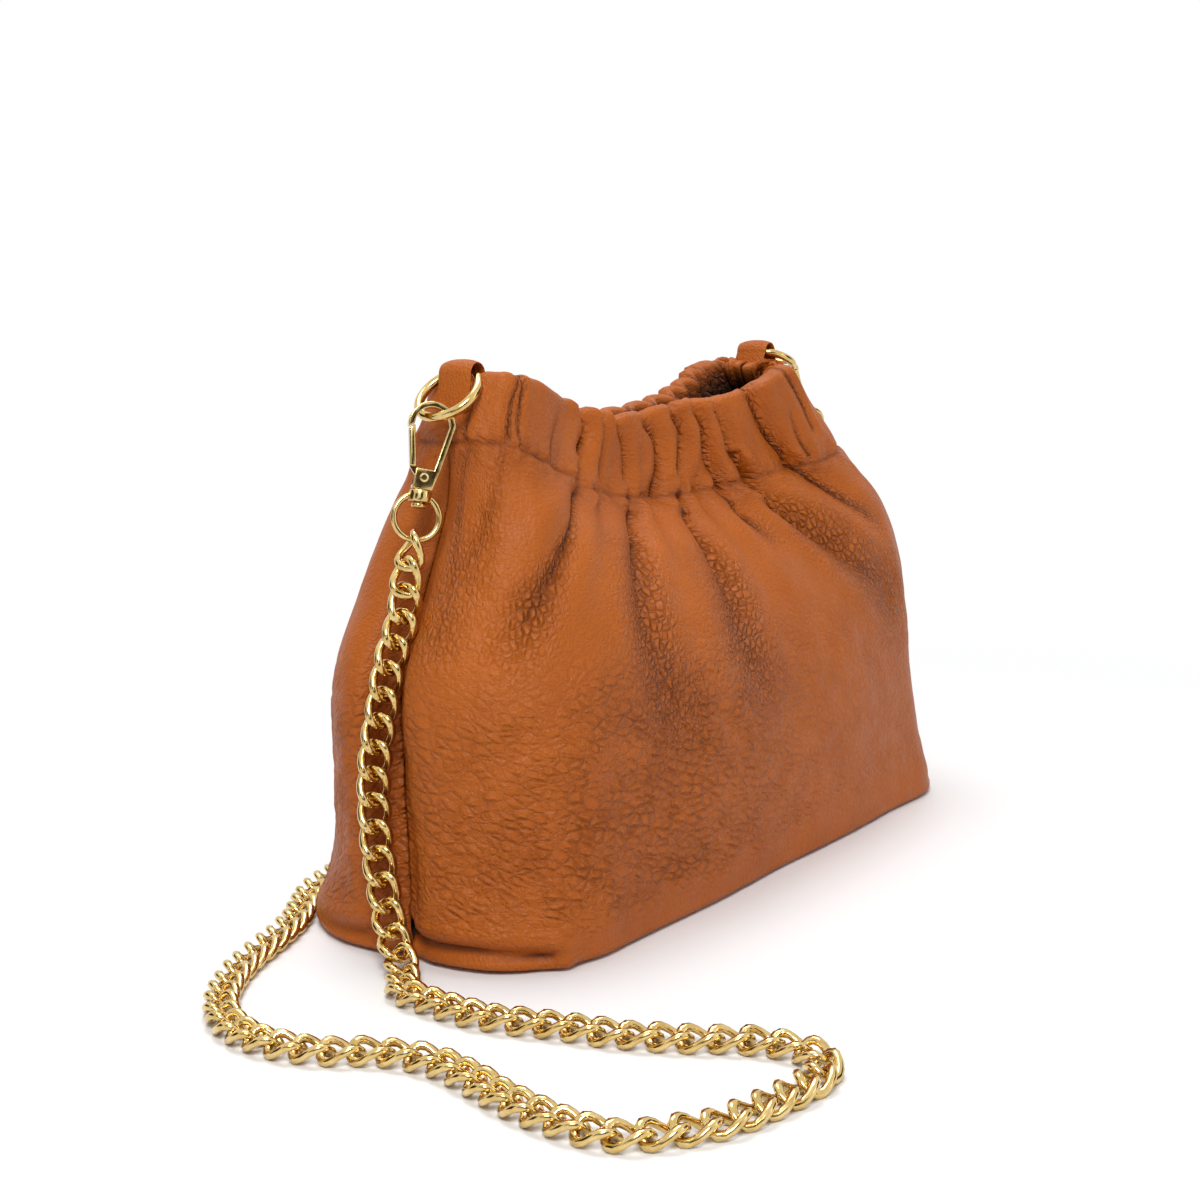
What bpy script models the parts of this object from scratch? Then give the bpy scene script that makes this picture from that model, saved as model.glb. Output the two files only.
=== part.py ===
# Leather pouch with a gathered mouth and a clip-on chain strap.
# Metres, +Z up. +X runs along the bag, -Y is its front, and the origin lies on the
# surface it stands on, under the middle of the bag. The bag is a front and a back panel
# sewn at the two ends and along the bottom. Each panel turns over at the mouth and forms
# a casing round a wide elastic. A leather tab at each end of the mouth holds a ring, and
# a trigger clip on each ring carries one end of the chain.

import math

import bmesh
import bpy
from mathutils import Matrix, Vector

# Sizes of the bag
half_length = 0.1285
half_depth = 0.0555
end_height = 0.1598
mouth_dip = 0.0128
middle_height = end_height - mouth_dip
casing_height_left = 0.0158
casing_height_middle = 0.0275
casing_height_right = 0.0308
seam_height_left = end_height - casing_height_left
seam_height_middle = middle_height - casing_height_middle
seam_height_right = end_height - casing_height_right
leather = 0.0012
seam_gap = 0.0003
fit_gap = 0.0003

# Sizes of the casing at the mouth and what it holds
elastic_thickness = 0.0009
washer_thickness = 0.0006
casing_ease = 0.0006
casing_room = elastic_thickness + washer_thickness + 3 * fit_gap + casing_ease
fold_width = 2 * leather + casing_room
elastic_low_share = 0.16
elastic_high_share = 0.80

# Sizes of the lining
lining = 0.0006
lining_ease = 0.0009

# Sizes of the magnetic snap
magnet_diameter = 0.0120
magnet_thickness = 0.0022
washer_diameter = 0.0140
magnet_height_share = 0.62
snap_ease = 0.0004

# Sizes of the tabs and their rings
tab_width = 0.0118
tab_left_x = -0.0905
tab_right_x = 0.0750
tab_rise = 0.0032
tab_axis_height = end_height + tab_rise
tab_seat = 0.0006
channel_ease = 0.0003
ring_diameter = 0.0216
ring_wire = 0.00275
ring_lean_left = math.radians(50)
ring_lean_right = math.radians(66)

# Sizes of the trigger clip
clip_turn = math.radians(40)
clip_tilt_left = math.radians(18.5)
clip_tilt_right = math.radians(43)
hook_width = 0.0133
hook_arm = 0.00175
hook_depth = 0.0029
eye_length = 0.0194
hook_length = 0.0252
hook_waist = 0.0086
hook_foot = 0.0058
hook_seat = 0.0026
slot_width = 0.0019
slot_floor = 0.0010
slot_wall = 0.0016
gate_plate = 0.0009
gate_depth = 0.0024
rivet_diameter = 0.0016
rivet_head = 0.0026
rivet_head_height = 0.00045
rivet_drop = 0.0025
pin_clearance = 0.0002
spring_wire = 0.00044
spring_diameter = 0.0027
stem_diameter = 0.0024
stem_head = 0.0042
stem_head_height = 0.0012
boss_diameter = 0.0064
boss_height = 0.0034
swivel_diameter = 0.0146
swivel_wire = 0.0017
edge_break = 0.0003

# Sizes of the chain
link_width = 0.0100
link_thickness = 0.0060
chain_diameter = (link_width + link_thickness) / 2
chain_step = 2 * chain_diameter

# Counts
columns_per_span = 3
ring_steps = 28
wire_sides = 8
round_steps = 20
fold_steps = 4
arc_steps = 14

# Height share of the seam, reach left, reach right, dip of the end, depth at the front's
# left corner, at its right corner and at the back's corners, depth in the middle, sway of
# the end seam and length of the flat end. Reaches are shares of half_length, and the
# others are shares of half_depth.
body_shares = [
    (0.000, 0.975, 0.980, 0.03, 0.82, 0.90, 0.88, 0.87, 0.00, 0.20),
    (0.045, 1.000, 1.000, 0.04, 0.88, 0.95, 0.95, 0.93, -0.03, 0.20),
    (0.120, 0.994, 0.999, 0.07, 0.88, 0.91, 0.86, 0.95, 0.02, 0.20),
    (0.200, 0.990, 0.985, 0.10, 0.88, 0.88, 0.79, 0.97, 0.06, 0.20),
    (0.370, 0.982, 0.967, 0.14, 0.87, 0.85, 0.77, 1.00, 0.11, 0.20),
    (0.550, 0.965, 0.968, 0.15, 0.81, 0.80, 0.76, 0.96, 0.12, 0.20),
    (0.720, 0.880, 0.980, 0.13, 0.68, 0.74, 0.68, 0.78, 0.08, 0.22),
    (0.860, 0.815, 0.935, 0.10, 0.55, 0.65, 0.58, 0.53, 0.03, 0.25),
    (0.940, 0.787, 0.865, 0.06, 0.45, 0.56, 0.46, 0.32, 0.01, 0.30),
    (1.000, 0.767, 0.785, 0.01, 0.37, 0.46, 0.37, 0.18, 0.00, 0.42),
]
# The rims lie this far from the middle where the snap draws them together.
rim_middle = fold_width + magnet_thickness + fit_gap + snap_ease
rim_middle_share = rim_middle / half_depth

# The same for the casing, with its first value as a share of the way from the seam to
# the rim. The last row is the outer face of the rim.
casing_shares = [
    (0.330, 0.754, 0.725, 0.00, 0.34, 0.42, 0.34, rim_middle_share, 0.00, 0.47),
    (0.660, 0.740, 0.662, 0.00, 0.32, 0.36, 0.32, rim_middle_share, 0.00, 0.50),
]
bottom_seam_share = 0.90
rim_corner_shares = (0.31, 0.33, 0.31)
rim_flat_share = 0.52

# Where the outline of a level passes: across as a share of the reach, and out as a share
# of the corner depth. Two more points lie before them, at the end seam and on its flat.
body_outline_shares = [(0.970, 0.62), (0.880, 0.90), (0.550, 1.00)]
casing_outline_shares = [(0.965, 0.79), (0.885, 0.98), (0.550, 1.00)]
outline_middle_share = 0.60

# Height of the rim and of the seam at each point of the outline, as the share of the
# way from the middle to the end. The rim's two lists are the front's and the back's.
rim_rise_shares = {
    -1: [1.00, 1.00, 1.25, 1.10, 0.40, 0.00, 0.22, 0.35, 0.93, 1.00, 1.00],
    1: [1.00, 1.00, 1.10, 0.95, 0.45, 0.10, 0.55, 0.85, 0.95, 1.00, 1.00],
}
seam_rise_shares = [1.00, 1.00, 0.98, 0.85, 0.30, 0.00, 0.30, 0.70, 0.95, 1.00, 1.00]


def curve_point(before, start, end, after, share):
    """Point on the smooth curve from start to end, with tangents that allow for
    unlike spans."""
    last, here, ahead = (start - before).length, (end - start).length, (after - end).length
    slope_start = (start - before) / last - (end - before) / (last + here)
    slope_end = (after - end) / ahead - (after - start) / (here + ahead)
    leave = here * slope_start + end - start
    arrive = here * slope_end + end - start
    square = share * share
    cube = square * share
    return (
        start * (2 * cube - 3 * square + 1) + leave * (cube - 2 * square + share)
        + end * (3 * square - 2 * cube) + arrive * (cube - square)
    )


def smooth_row(points):
    """Every column of one row, read from a smooth curve through its outline points.
    The curve crosses each end seam squarely."""
    first, last = points[0], points[-1]
    before = Vector((points[1].x, 2 * first.y - points[1].y, points[1].z))
    after = Vector((points[-2].x, 2 * last.y - points[-2].y, points[-2].z))
    padded = [before] + points + [after]
    row = []
    for span in range(len(points) - 1):
        for step in range(columns_per_span):
            share = step / columns_per_span
            row.append(curve_point(*padded[span:span + 4], share))
    row.append(last.copy())
    return row


def rim_height(side, index):
    rise = rim_rise_shares[side][index]
    return middle_height + rise * (end_height - middle_height)


def seam_height(index):
    last = len(seam_rise_shares) - 1
    end = seam_height_left if index <= last // 2 else seam_height_right
    return seam_height_middle + seam_rise_shares[index] * (end - seam_height_middle)


def level_outline(side, level, heights, outline_shares):
    """Outline points of one half of the bag at one level, from its left end seam to
    its right one. side is -1 for the front and 1 for the back."""
    _, left_share, right_share, dip, *corners, middle, sway, flat = level
    left_out, right_out = [
        share * half_depth for share in (corners[:2] if side < 0 else corners[2:] * 2)
    ]
    left, right = left_share * half_length, right_share * half_length
    dip_in = dip * half_depth
    middle_out = middle * half_depth
    seam_y = sway * half_depth + side * seam_gap / 2

    def end_points(reach, corner_out, sign):
        points = [(sign * (reach - dip_in), seam_y)]
        lip = reach - dip_in * flat
        points.append((sign * lip, seam_y + side * flat * corner_out))
        for across, out in outline_shares[:2]:
            points.append((sign * across * reach, side * out * corner_out))
        across, out = outline_shares[2]
        deep = out * corner_out + outline_middle_share * (middle_out - corner_out)
        points.append((sign * across * reach, side * deep))
        return points

    centre = ((right - left) / 2, side * middle_out)
    flat_points = end_points(left, left_out, -1) + [centre]
    flat_points += end_points(right, right_out, 1)[::-1]
    return [Vector((x, y, z)) for (x, y), z in zip(flat_points, heights)]


def end_across(row, column):
    """Direction of a row where it meets the end seam, square to the seam."""
    near = row[1] if column == 0 else row[-2]
    way = near.y - row[column].y
    return Vector((0, way if column == 0 else -way, 0))


def wall_inward(rows, side):
    """Inward direction at every point of the wall, floor rows below it left out."""
    last = len(rows[0]) - 1
    directions = []
    for r, row in enumerate(rows):
        below, above = rows[max(r - 1, 0)], rows[min(r + 1, len(rows) - 1)]
        line = []
        for c in range(last + 1):
            inside = 0 < c < last
            across = row[c + 1] - row[c - 1] if inside else end_across(row, c)
            line.append(side * across.cross(above[c] - below[c]).normalized())
        directions.append(line)
    return directions


def inset_body(side, inward):
    """The bottom and the wall, each point moved inwards by the same amount."""
    wall = body_rows(side)
    under = floor_rows(side, wall[0])
    directions = wall_inward([under[-1]] + wall, side)[1:]
    rows = [[p + Vector((0, 0, inward)) for p in row] for row in under]
    for row, line in zip(wall, directions):
        rows.append([p + d * inward for p, d in zip(row, line)])
    rows[-1] = offset_row(wall[-1], side, inward)
    return rows


def body_rows(side):
    """Outer face of one half: under the bag from the bottom seam, then up the wall."""
    rows = []
    for level in body_shares:
        heights = [level[0] * seam_height(i) for i in range(len(seam_rise_shares))]
        at_seam = level is body_shares[-1]
        outline_shares = casing_outline_shares if at_seam else body_outline_shares
        rows.append(smooth_row(level_outline(side, level, heights, outline_shares)))
    return rows


def floor_rows(side, wall_foot):
    """The half of the bottom between its seam and the foot of the wall."""
    left, right = wall_foot[0].x * bottom_seam_share, wall_foot[-1].x * bottom_seam_share
    last = len(wall_foot) - 1
    rows = []
    for share in (0.0, 0.5):
        row = []
        for c, point in enumerate(wall_foot):
            across = left + (right - left) * c / last
            row.append(Vector((across, side * seam_gap / 2, 0)).lerp(point, share))
        rows.append(row)
    return rows


def casing_rows(side):
    """Outer face of the casing, from the gathered seam to the start of the fold."""
    count = len(seam_rise_shares)
    tab_reach = fold_width / 2
    rim_level = (
        1.0,
        (tab_reach - tab_left_x) / half_length,
        (tab_right_x + tab_reach) / half_length,
        0.0, *rim_corner_shares, rim_middle_share, 0.0, rim_flat_share,
    )
    rows = []
    for level in casing_shares + [rim_level]:
        heights = []
        for i in range(count):
            top = rim_height(side, i) - fold_width / 2
            heights.append(seam_height(i) + level[0] * (top - seam_height(i)))
        rows.append(smooth_row(level_outline(side, level, heights, casing_outline_shares)))
    return rows


def level_inward(row, side):
    """Horizontal inward direction at every point of a row."""
    up = Vector((0, 0, 1))
    result = []
    for c in range(len(row)):
        inside = 0 < c < len(row) - 1
        across = row[c + 1] - row[c - 1] if inside else end_across(row, c)
        across.z = 0
        result.append((side * across.cross(up)).normalized())
    return result


def offset_row(row, side, inward, lift=0.0):
    directions = level_inward(row, side)
    return [p + d * inward + Vector((0, 0, lift)) for p, d in zip(row, directions)]


def casing_and_fold(side, depth):
    """The casing, its turned-over edge and the facing inside, depth into the leather."""
    rows = casing_rows(side)
    turned = [offset_row(row, side, depth) for row in rows]
    radius = fold_width / 2 - depth
    for step in range(1, fold_steps):
        angle = math.pi * step / fold_steps
        inward = fold_width / 2 - radius * math.cos(angle)
        turned.append(offset_row(rows[-1], side, inward, radius * math.sin(angle)))
    for row in reversed([body_rows(side)[-1]] + rows):
        turned.append(offset_row(row, side, fold_width - depth))
    return turned


def new_material(name, colour, roughness, metallic):
    material = bpy.data.materials.new(name)
    material.use_nodes = True
    shader = material.node_tree.nodes["Principled BSDF"]
    shader.inputs["Base Color"].default_value = (*colour, 1)
    shader.inputs["Roughness"].default_value = roughness
    shader.inputs["Metallic"].default_value = metallic
    return material


def leather_material(name):
    return new_material(name, (0.42, 0.115, 0.032), 0.5, 0.0)


def gold_material(name):
    return new_material(name, (0.83, 0.62, 0.27), 0.2, 1.0)


def steel_material(name):
    return new_material(name, (0.55, 0.55, 0.56), 0.3, 1.0)


def cloth_material(name, colour):
    return new_material(name, colour, 0.9, 0.0)


def add_object(name, bm, material, placement=None, smooth=True):
    mesh = bpy.data.meshes.new(name)
    bm.normal_update()
    bm.to_mesh(mesh)
    bm.free()
    mesh.materials.append(material)
    obj = bpy.data.objects.new(name, mesh)
    bpy.context.collection.objects.link(obj)
    if placement is not None:
        obj.matrix_world = placement
    if smooth:
        mesh.shade_smooth()
        mesh.set_sharp_from_angle(angle=math.radians(40))
    return obj


def closed_shell(name, outer, inner, side, material):
    """One closed body between two grids of the same size, split along like diagonals."""
    bm = bmesh.new()
    height, width = len(outer), len(outer[0])
    front = [[bm.verts.new(p) for p in row] for row in outer]
    rear = [[bm.verts.new(p) for p in row] for row in inner]

    def face(*corners):
        bm.faces.new(corners if side < 0 else corners[::-1])

    for r in range(height - 1):
        for c in range(width - 1):
            face(front[r][c], front[r][c + 1], front[r + 1][c + 1])
            face(front[r][c], front[r + 1][c + 1], front[r + 1][c])
            face(rear[r + 1][c + 1], rear[r][c + 1], rear[r][c])
            face(rear[r + 1][c], rear[r + 1][c + 1], rear[r][c])
        face(front[r + 1][0], rear[r + 1][0], rear[r][0], front[r][0])
        face(front[r][-1], rear[r][-1], rear[r + 1][-1], front[r + 1][-1])
    for c in range(width - 1):
        face(front[0][c], rear[0][c], rear[0][c + 1], front[0][c + 1])
        face(front[-1][c + 1], rear[-1][c + 1], rear[-1][c], front[-1][c])
    return add_object(name, bm, material)


def make_panel(name, side):
    """One leather half: bottom, wall, casing, turned edge and facing."""
    outer = inset_body(side, 0) + casing_and_fold(side, 0)
    inner = inset_body(side, leather) + casing_and_fold(side, leather)
    closed_shell(name, outer, inner, side, leather_material(name))


def make_lining(name, side):
    """The cloth half inside the leather, sewn to the lower edge of the facing."""
    top = body_rows(side)[-1]
    shells = []
    for depth in (0, lining):
        rows = inset_body(side, leather + lining_ease + depth)
        rows[-1] = offset_row(top, side, fold_width - leather + depth, -fit_gap)
        shells.append(rows)
    outer, inner = shells
    closed_shell(name, outer, inner, side, cloth_material(name, (0.30, 0.20, 0.12)))


def make_elastic():
    """One endless band of elastic that runs through both casings."""
    bm = bmesh.new()
    near = leather + fit_gap
    spans = len(casing_shares) + 1
    places = [elastic_low_share * spans]
    places += [i for i in range(1, spans)] + [elastic_high_share * spans]
    path = [(place, near) for place in places]
    path += [(place, near + elastic_thickness) for place in reversed(places)]
    loops = []
    for place, inward in path:
        low = int(place)
        loop = []
        for side in (-1, 1):
            rows = [body_rows(side)[-1]] + casing_rows(side)
            lower = offset_row(rows[low], side, inward)
            upper = offset_row(rows[low + 1], side, inward)
            row = [a.lerp(b, place - low) for a, b in zip(lower, upper)]
            loop += row if side < 0 else row[::-1]
        loops.append([bm.verts.new(p) for p in loop])
    count = len(loops[0])
    for k, loop in enumerate(loops):
        other = loops[(k + 1) % len(loops)]
        for i in range(count):
            j = (i + 1) % count
            bm.faces.new((loop[i], other[i], other[j], loop[j]))
    bmesh.ops.recalc_face_normals(bm, faces=bm.faces)
    add_object("elastic_band", bm, cloth_material("elastic_band", (0.75, 0.74, 0.70)))


def disc(name, diameter, thickness, centre, material):
    """A flat round plate that faces along Y."""
    bm = bmesh.new()
    bmesh.ops.create_cone(
        bm, cap_ends=True, segments=round_steps, radius1=diameter / 2,
        radius2=diameter / 2, depth=thickness,
    )
    turn = Matrix.Rotation(math.pi / 2, 4, "X")
    add_object(name, bm, material, Matrix.Translation(centre) @ turn)


def make_snap():
    """The two magnet halves on the facings, and the washers behind them."""
    for side, word in ((-1, "front"), (1, "back")):
        rows = casing_rows(side)
        middle = len(rows[0]) // 2
        low, high = body_rows(side)[-1][middle], rows[-1][middle]
        height = low.z + magnet_height_share * (high.z - low.z)
        face_y = half_depth * rim_middle_share - fold_width
        magnet_y = side * (face_y - fit_gap - magnet_thickness / 2)
        behind = casing_ease + fit_gap + washer_thickness / 2
        washer_y = side * (face_y + leather + behind)
        across = high.x
        disc(
            word + "_magnet", magnet_diameter, magnet_thickness,
            Vector((across, magnet_y, height)), steel_material(word + "_magnet"),
        )
        disc(
            word + "_magnet_washer", washer_diameter, washer_thickness,
            Vector((across, washer_y, height)), steel_material(word + "_magnet_washer"),
        )


def side_frame(word):
    """Frame on a tab's axis, with +X away from the bag."""
    across = tab_left_x if word == "left" else tab_right_x
    turn = math.pi if word == "left" else 0.0
    place = Matrix.Translation(Vector((across, 0, tab_axis_height)))
    return place @ Matrix.Rotation(turn, 4, "Z")


ring_radius = (ring_diameter - ring_wire) / 2
ring_sag = ring_radius - math.sqrt(ring_radius ** 2 - (tab_width / 2) ** 2)
ring_offset = ring_radius - ring_sag / 2
ring_low = 2 * ring_radius - ring_sag / 2
channel_radius = ring_sag / 2 + ring_wire / 2 + fit_gap + channel_ease


def clip_frame(word):
    """Frame on the low side of a ring, with -Z along the clip and Y square to it."""
    tilt = clip_tilt_left if word == "left" else clip_tilt_right
    lean = ring_lean_left if word == "left" else ring_lean_right
    low = Vector((math.sin(lean), 0, -math.cos(lean))) * ring_low
    frame = side_frame(word) @ Matrix.Translation(low)
    frame = frame @ Matrix.Rotation(-tilt, 4, "Y")
    return frame @ Matrix.Rotation(math.pi - clip_turn, 4, "Z")


def prism(outline, depth):
    """A flat outline in X and Z, made depth thick along Y."""
    bm = bmesh.new()
    near = [bm.verts.new((x, -depth / 2, z)) for x, z in outline]
    far = [bm.verts.new((x, depth / 2, z)) for x, z in outline]
    bm.faces.new(near)
    bm.faces.new(far[::-1])
    count = len(outline)
    for i in range(count):
        j = (i + 1) % count
        bm.faces.new((near[j], near[i], far[i], far[j]))
    bmesh.ops.recalc_face_normals(bm, faces=bm.faces)
    return bm


def arc(centre, radius, start, end, steps):
    """Points on an arc in X and Z, angles from +X towards +Z."""
    points = []
    for i in range(steps + 1):
        angle = start + (end - start) * i / steps
        points.append((
            centre[0] + radius * math.cos(angle), centre[1] + radius * math.sin(angle),
        ))
    return points


def make_tab(word):
    """A strip folded over the rim, with the ring's channel at its top."""
    sign = -1 if word == "left" else 1
    rows = [body_rows(-1)[-1]] + casing_rows(-1)
    column = 0 if word == "left" else len(rows[0]) - 1
    axis_x = tab_left_x if word == "left" else tab_right_x
    leg_rows = [rows[2], rows[3]]
    wall = [(sign * (row[column].x - axis_x), row[column].z) for row in leg_rows]
    wall = [(x, z - tab_axis_height) for x, z in wall]

    def outer_leg(out):
        return [(x + tab_seat + out, z) for x, z in wall]

    def inner_leg(inward):
        return [(x - fold_width - tab_seat - inward, z) for x, z in wall]

    half = channel_radius
    over = arc((0, 0), half + leather, 0, math.pi, arc_steps)
    under = arc((0, 0), half, math.pi, 0, arc_steps)
    outline = outer_leg(leather) + over + inner_leg(leather)[::-1]
    outline += inner_leg(0) + under + outer_leg(0)[::-1]
    bm = prism(outline, tab_width)
    add_object(word + "_tab", bm, leather_material(word + "_tab"), side_frame(word))


def torus_mesh(radius, wire, centre):
    """A round ring in the XZ plane."""
    bm = bmesh.new()
    loops = []
    for i in range(ring_steps):
        angle = 2 * math.pi * i / ring_steps
        outward = Vector((math.cos(angle), 0, math.sin(angle)))
        loop = []
        for k in range(wire_sides):
            turn = 2 * math.pi * (k + 0.5) / wire_sides
            offset = outward * math.cos(turn) + Vector((0, 1, 0)) * math.sin(turn)
            loop.append(bm.verts.new(centre + outward * radius + offset * wire / 2))
        loops.append(loop)
    for i, loop in enumerate(loops):
        other = loops[(i + 1) % ring_steps]
        for k in range(wire_sides):
            n = (k + 1) % wire_sides
            bm.faces.new((loop[k], loop[n], other[n], other[k]))
    bmesh.ops.recalc_face_normals(bm, faces=bm.faces)
    return bm


def make_ring(word):
    """The O-ring, hanging in its tab and leaning out over the shoulder of the bag."""
    bm = torus_mesh(ring_radius, ring_wire, Vector((0, 0, -ring_offset)))
    turn = Matrix.Rotation(math.pi / 2, 4, "Z")
    bmesh.ops.transform(bm, matrix=turn, verts=bm.verts)
    lean = ring_lean_left if word == "left" else ring_lean_right
    placement = side_frame(word) @ Matrix.Rotation(-lean, 4, "Y")
    add_object(word + "_o_ring", bm, gold_material(word + "_o_ring"), placement)


# Places on the clip, measured from the wire that it hangs on
hook_top = hook_seat + hook_arm
eye_centre = hook_top - hook_width / 2
eye_floor = hook_top - eye_length
hook_end = hook_top - hook_length
rivet_height = eye_floor - rivet_drop
boss_top = hook_end - fit_gap
boss_bottom = boss_top - boss_height
head_top = boss_bottom - fit_gap
swivel_height = boss_top - swivel_diameter / 2 - fit_gap
swivel_radius = (swivel_diameter - swivel_wire) / 2
clip_end = swivel_height - swivel_diameter / 2
nose_outer = math.radians(195)
nose_inner = math.radians(184)


def apply_cut(obj, operation, cutter_bm, placement):
    """Cut or join a helper solid and remove the helper."""
    mesh = bpy.data.meshes.new("helper")
    cutter_bm.to_mesh(mesh)
    cutter_bm.free()
    helper = bpy.data.objects.new("helper", mesh)
    bpy.context.collection.objects.link(helper)
    helper.matrix_world = placement
    modifier = obj.modifiers.new(operation.lower(), "BOOLEAN")
    modifier.operation = operation
    modifier.object = helper
    bpy.context.view_layer.update()
    depsgraph = bpy.context.evaluated_depsgraph_get()
    result = bpy.data.meshes.new_from_object(obj.evaluated_get(depsgraph))
    obj.modifiers.clear()
    old = obj.data
    obj.data = result
    bpy.data.meshes.remove(old)
    bpy.data.objects.remove(helper)
    bpy.data.meshes.remove(mesh)


def box_mesh(low, high):
    bm = bmesh.new()
    bmesh.ops.create_cube(bm, size=1.0)
    size = Vector(high) - Vector(low)
    for vert in bm.verts:
        middle = (Vector(high) + Vector(low)) / 2
        vert.co = Vector(a * b for a, b in zip(vert.co, size)) + middle
    return bm


def lathe_mesh(profile, axis="Z", steps=round_steps):
    """A turned solid from radius and height pairs, listed from one end to the other."""
    bm = bmesh.new()
    loops = []
    for radius, height in profile:
        loop = []
        for i in range(steps):
            angle = 2 * math.pi * i / steps
            x, y = radius * math.cos(angle), radius * math.sin(angle)
            place = (x, y, height) if axis == "Z" else (x, height, y)
            loop.append(bm.verts.new(place))
        loops.append(loop)
    for low, high in zip(loops, loops[1:]):
        for i in range(steps):
            j = (i + 1) % steps
            bm.faces.new((low[i], low[j], high[j], high[i]))
    bm.faces.new(loops[0])
    bm.faces.new(loops[-1])
    bmesh.ops.recalc_face_normals(bm, faces=bm.faces)
    return bm


def break_edges(bm, flat_depth):
    """Break the long edges of a prism's two flat faces."""
    rim = [
        e for e in bm.edges
        if abs(abs(e.verts[0].co.y) - flat_depth / 2) < pin_clearance / 10
        and abs(e.verts[0].co.y - e.verts[1].co.y) < pin_clearance / 10
    ]
    bmesh.ops.bevel(
        bm, geom=rim, offset=edge_break, segments=1, affect="EDGES", profile=0.5,
        clamp_overlap=True,
    )


def make_hook(word):
    """Cast hook: eye, slotted body, and a stem headed over below the swivel's boss."""
    centre = (0, eye_centre)
    outer_r, inner_r = hook_width / 2, hook_width / 2 - hook_arm
    outline = arc(centre, outer_r, nose_outer, 0, arc_steps)
    outline += [(hook_waist / 2, eye_floor), (hook_foot / 2, hook_end)]
    outline += [(-hook_foot / 2, hook_end), (-hook_waist / 2 + hook_arm, eye_floor)]
    outline += [(hook_waist / 2 - hook_arm, eye_floor)]
    outline += arc(centre, inner_r, 0, nose_inner, arc_steps)
    bm = prism(outline, hook_depth)
    break_edges(bm, hook_depth)
    frame = clip_frame(word)
    name = word + "_hook"
    hook = add_object(name, bm, gold_material(name), frame)
    slot = box_mesh(
        (-hook_width, -slot_width / 2, hook_end + slot_floor),
        (hook_foot / 2 - slot_wall / 2, slot_width / 2, eye_floor + slot_wall),
    )
    apply_cut(hook, "DIFFERENCE", slot, frame)
    hole = rivet_diameter / 2 + pin_clearance
    bore = lathe_mesh([(hole, -hook_depth), (hole, hook_depth)], "Y", 12)
    apply_cut(hook, "DIFFERENCE", bore, frame @ Matrix.Translation((0, 0, rivet_height)))
    stem = lathe_mesh([
        (stem_diameter / 2, hook_end + slot_floor / 2),
        (stem_diameter / 2, head_top),
        (stem_head / 2, head_top),
        (stem_head / 2, head_top - stem_head_height / 2),
        (stem_diameter / 2, head_top - stem_head_height),
    ], "Z", 16)
    apply_cut(hook, "UNION", stem, frame)


def make_gate(word):
    """The sprung side of the hook, with a flat root that turns on the rivet."""
    outer_r, inner_r = hook_width / 2, hook_width / 2 - hook_arm
    step = Vector((math.cos(nose_inner) * inner_r - math.cos(nose_outer) * outer_r,
                   math.sin(nose_inner) * inner_r - math.sin(nose_outer) * outer_r))
    away = Vector((step.y, -step.x)).normalized() * (pin_clearance + fit_gap) / 2
    tip_out = Vector((math.cos(nose_outer), math.sin(nose_outer))) * outer_r + away
    tip_in = Vector((math.cos(nose_inner), math.sin(nose_inner))) * inner_r + away
    rise = rivet_drop
    arm = [
        (tip_out.x, tip_out.y + eye_centre - rivet_height),
        (tip_in.x, tip_in.y + eye_centre - rivet_height),
        (-hook_waist / 2 + hook_arm, rise + pin_clearance),
        (-hook_waist / 2, rise + pin_clearance),
    ]
    name = word + "_gate"
    frame = clip_frame(word) @ Matrix.Translation((0, 0, rivet_height))
    bm = prism(arm, gate_depth)
    gate = add_object(name, bm, gold_material(name), frame)
    root_r = rivet_head / 2 + pin_clearance * 2
    root = [(-hook_waist / 2, rise + 2 * pin_clearance), (-hook_waist / 2, rise)]
    root += arc((0, 0), root_r, math.radians(215), math.radians(400), arc_steps // 2)
    root += [(-hook_waist / 2 + hook_arm, rise + 2 * pin_clearance)]
    plate_y = -slot_width / 2 + pin_clearance + gate_plate / 2
    shift = Matrix.Translation((0, plate_y, 0))
    apply_cut(gate, "UNION", prism(root, gate_plate), frame @ shift)
    hole = rivet_diameter / 2 + pin_clearance
    bore = lathe_mesh([(hole, -hook_depth), (hole, hook_depth)], "Y", 12)
    apply_cut(gate, "DIFFERENCE", bore, frame)


def make_rivet(word):
    """The rivet through both cheeks of the hook and the root of the gate."""
    shank, head = rivet_diameter / 2, rivet_head / 2
    seat = hook_depth / 2 + pin_clearance / 2
    top = seat + rivet_head_height
    bm = lathe_mesh([
        (shank, -top), (head, -seat - rivet_head_height / 2), (head, -seat),
        (shank, -seat), (shank, seat),
        (head, seat), (head, seat + rivet_head_height / 2), (shank, top),
    ], "Y", 12)
    frame = clip_frame(word) @ Matrix.Translation((0, 0, rivet_height))
    name = word + "_gate_rivet"
    add_object(name, bm, gold_material(name), frame)


def tube(name, points, diameter, material, resolution, placement=None):
    """A round tube along points, with closed ends."""
    curve = bpy.data.curves.new(name, "CURVE")
    curve.dimensions = "3D"
    curve.bevel_depth = diameter / 2
    curve.bevel_resolution = resolution
    curve.use_fill_caps = True
    spline = curve.splines.new("POLY")
    spline.points.add(len(points) - 1)
    for spot, point in zip(spline.points, points):
        spot.co = (*point, 1)
    curve.materials.append(material)
    obj = bpy.data.objects.new(name, curve)
    bpy.context.collection.objects.link(obj)
    if placement is not None:
        obj.matrix_world = placement
    return obj


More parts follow.
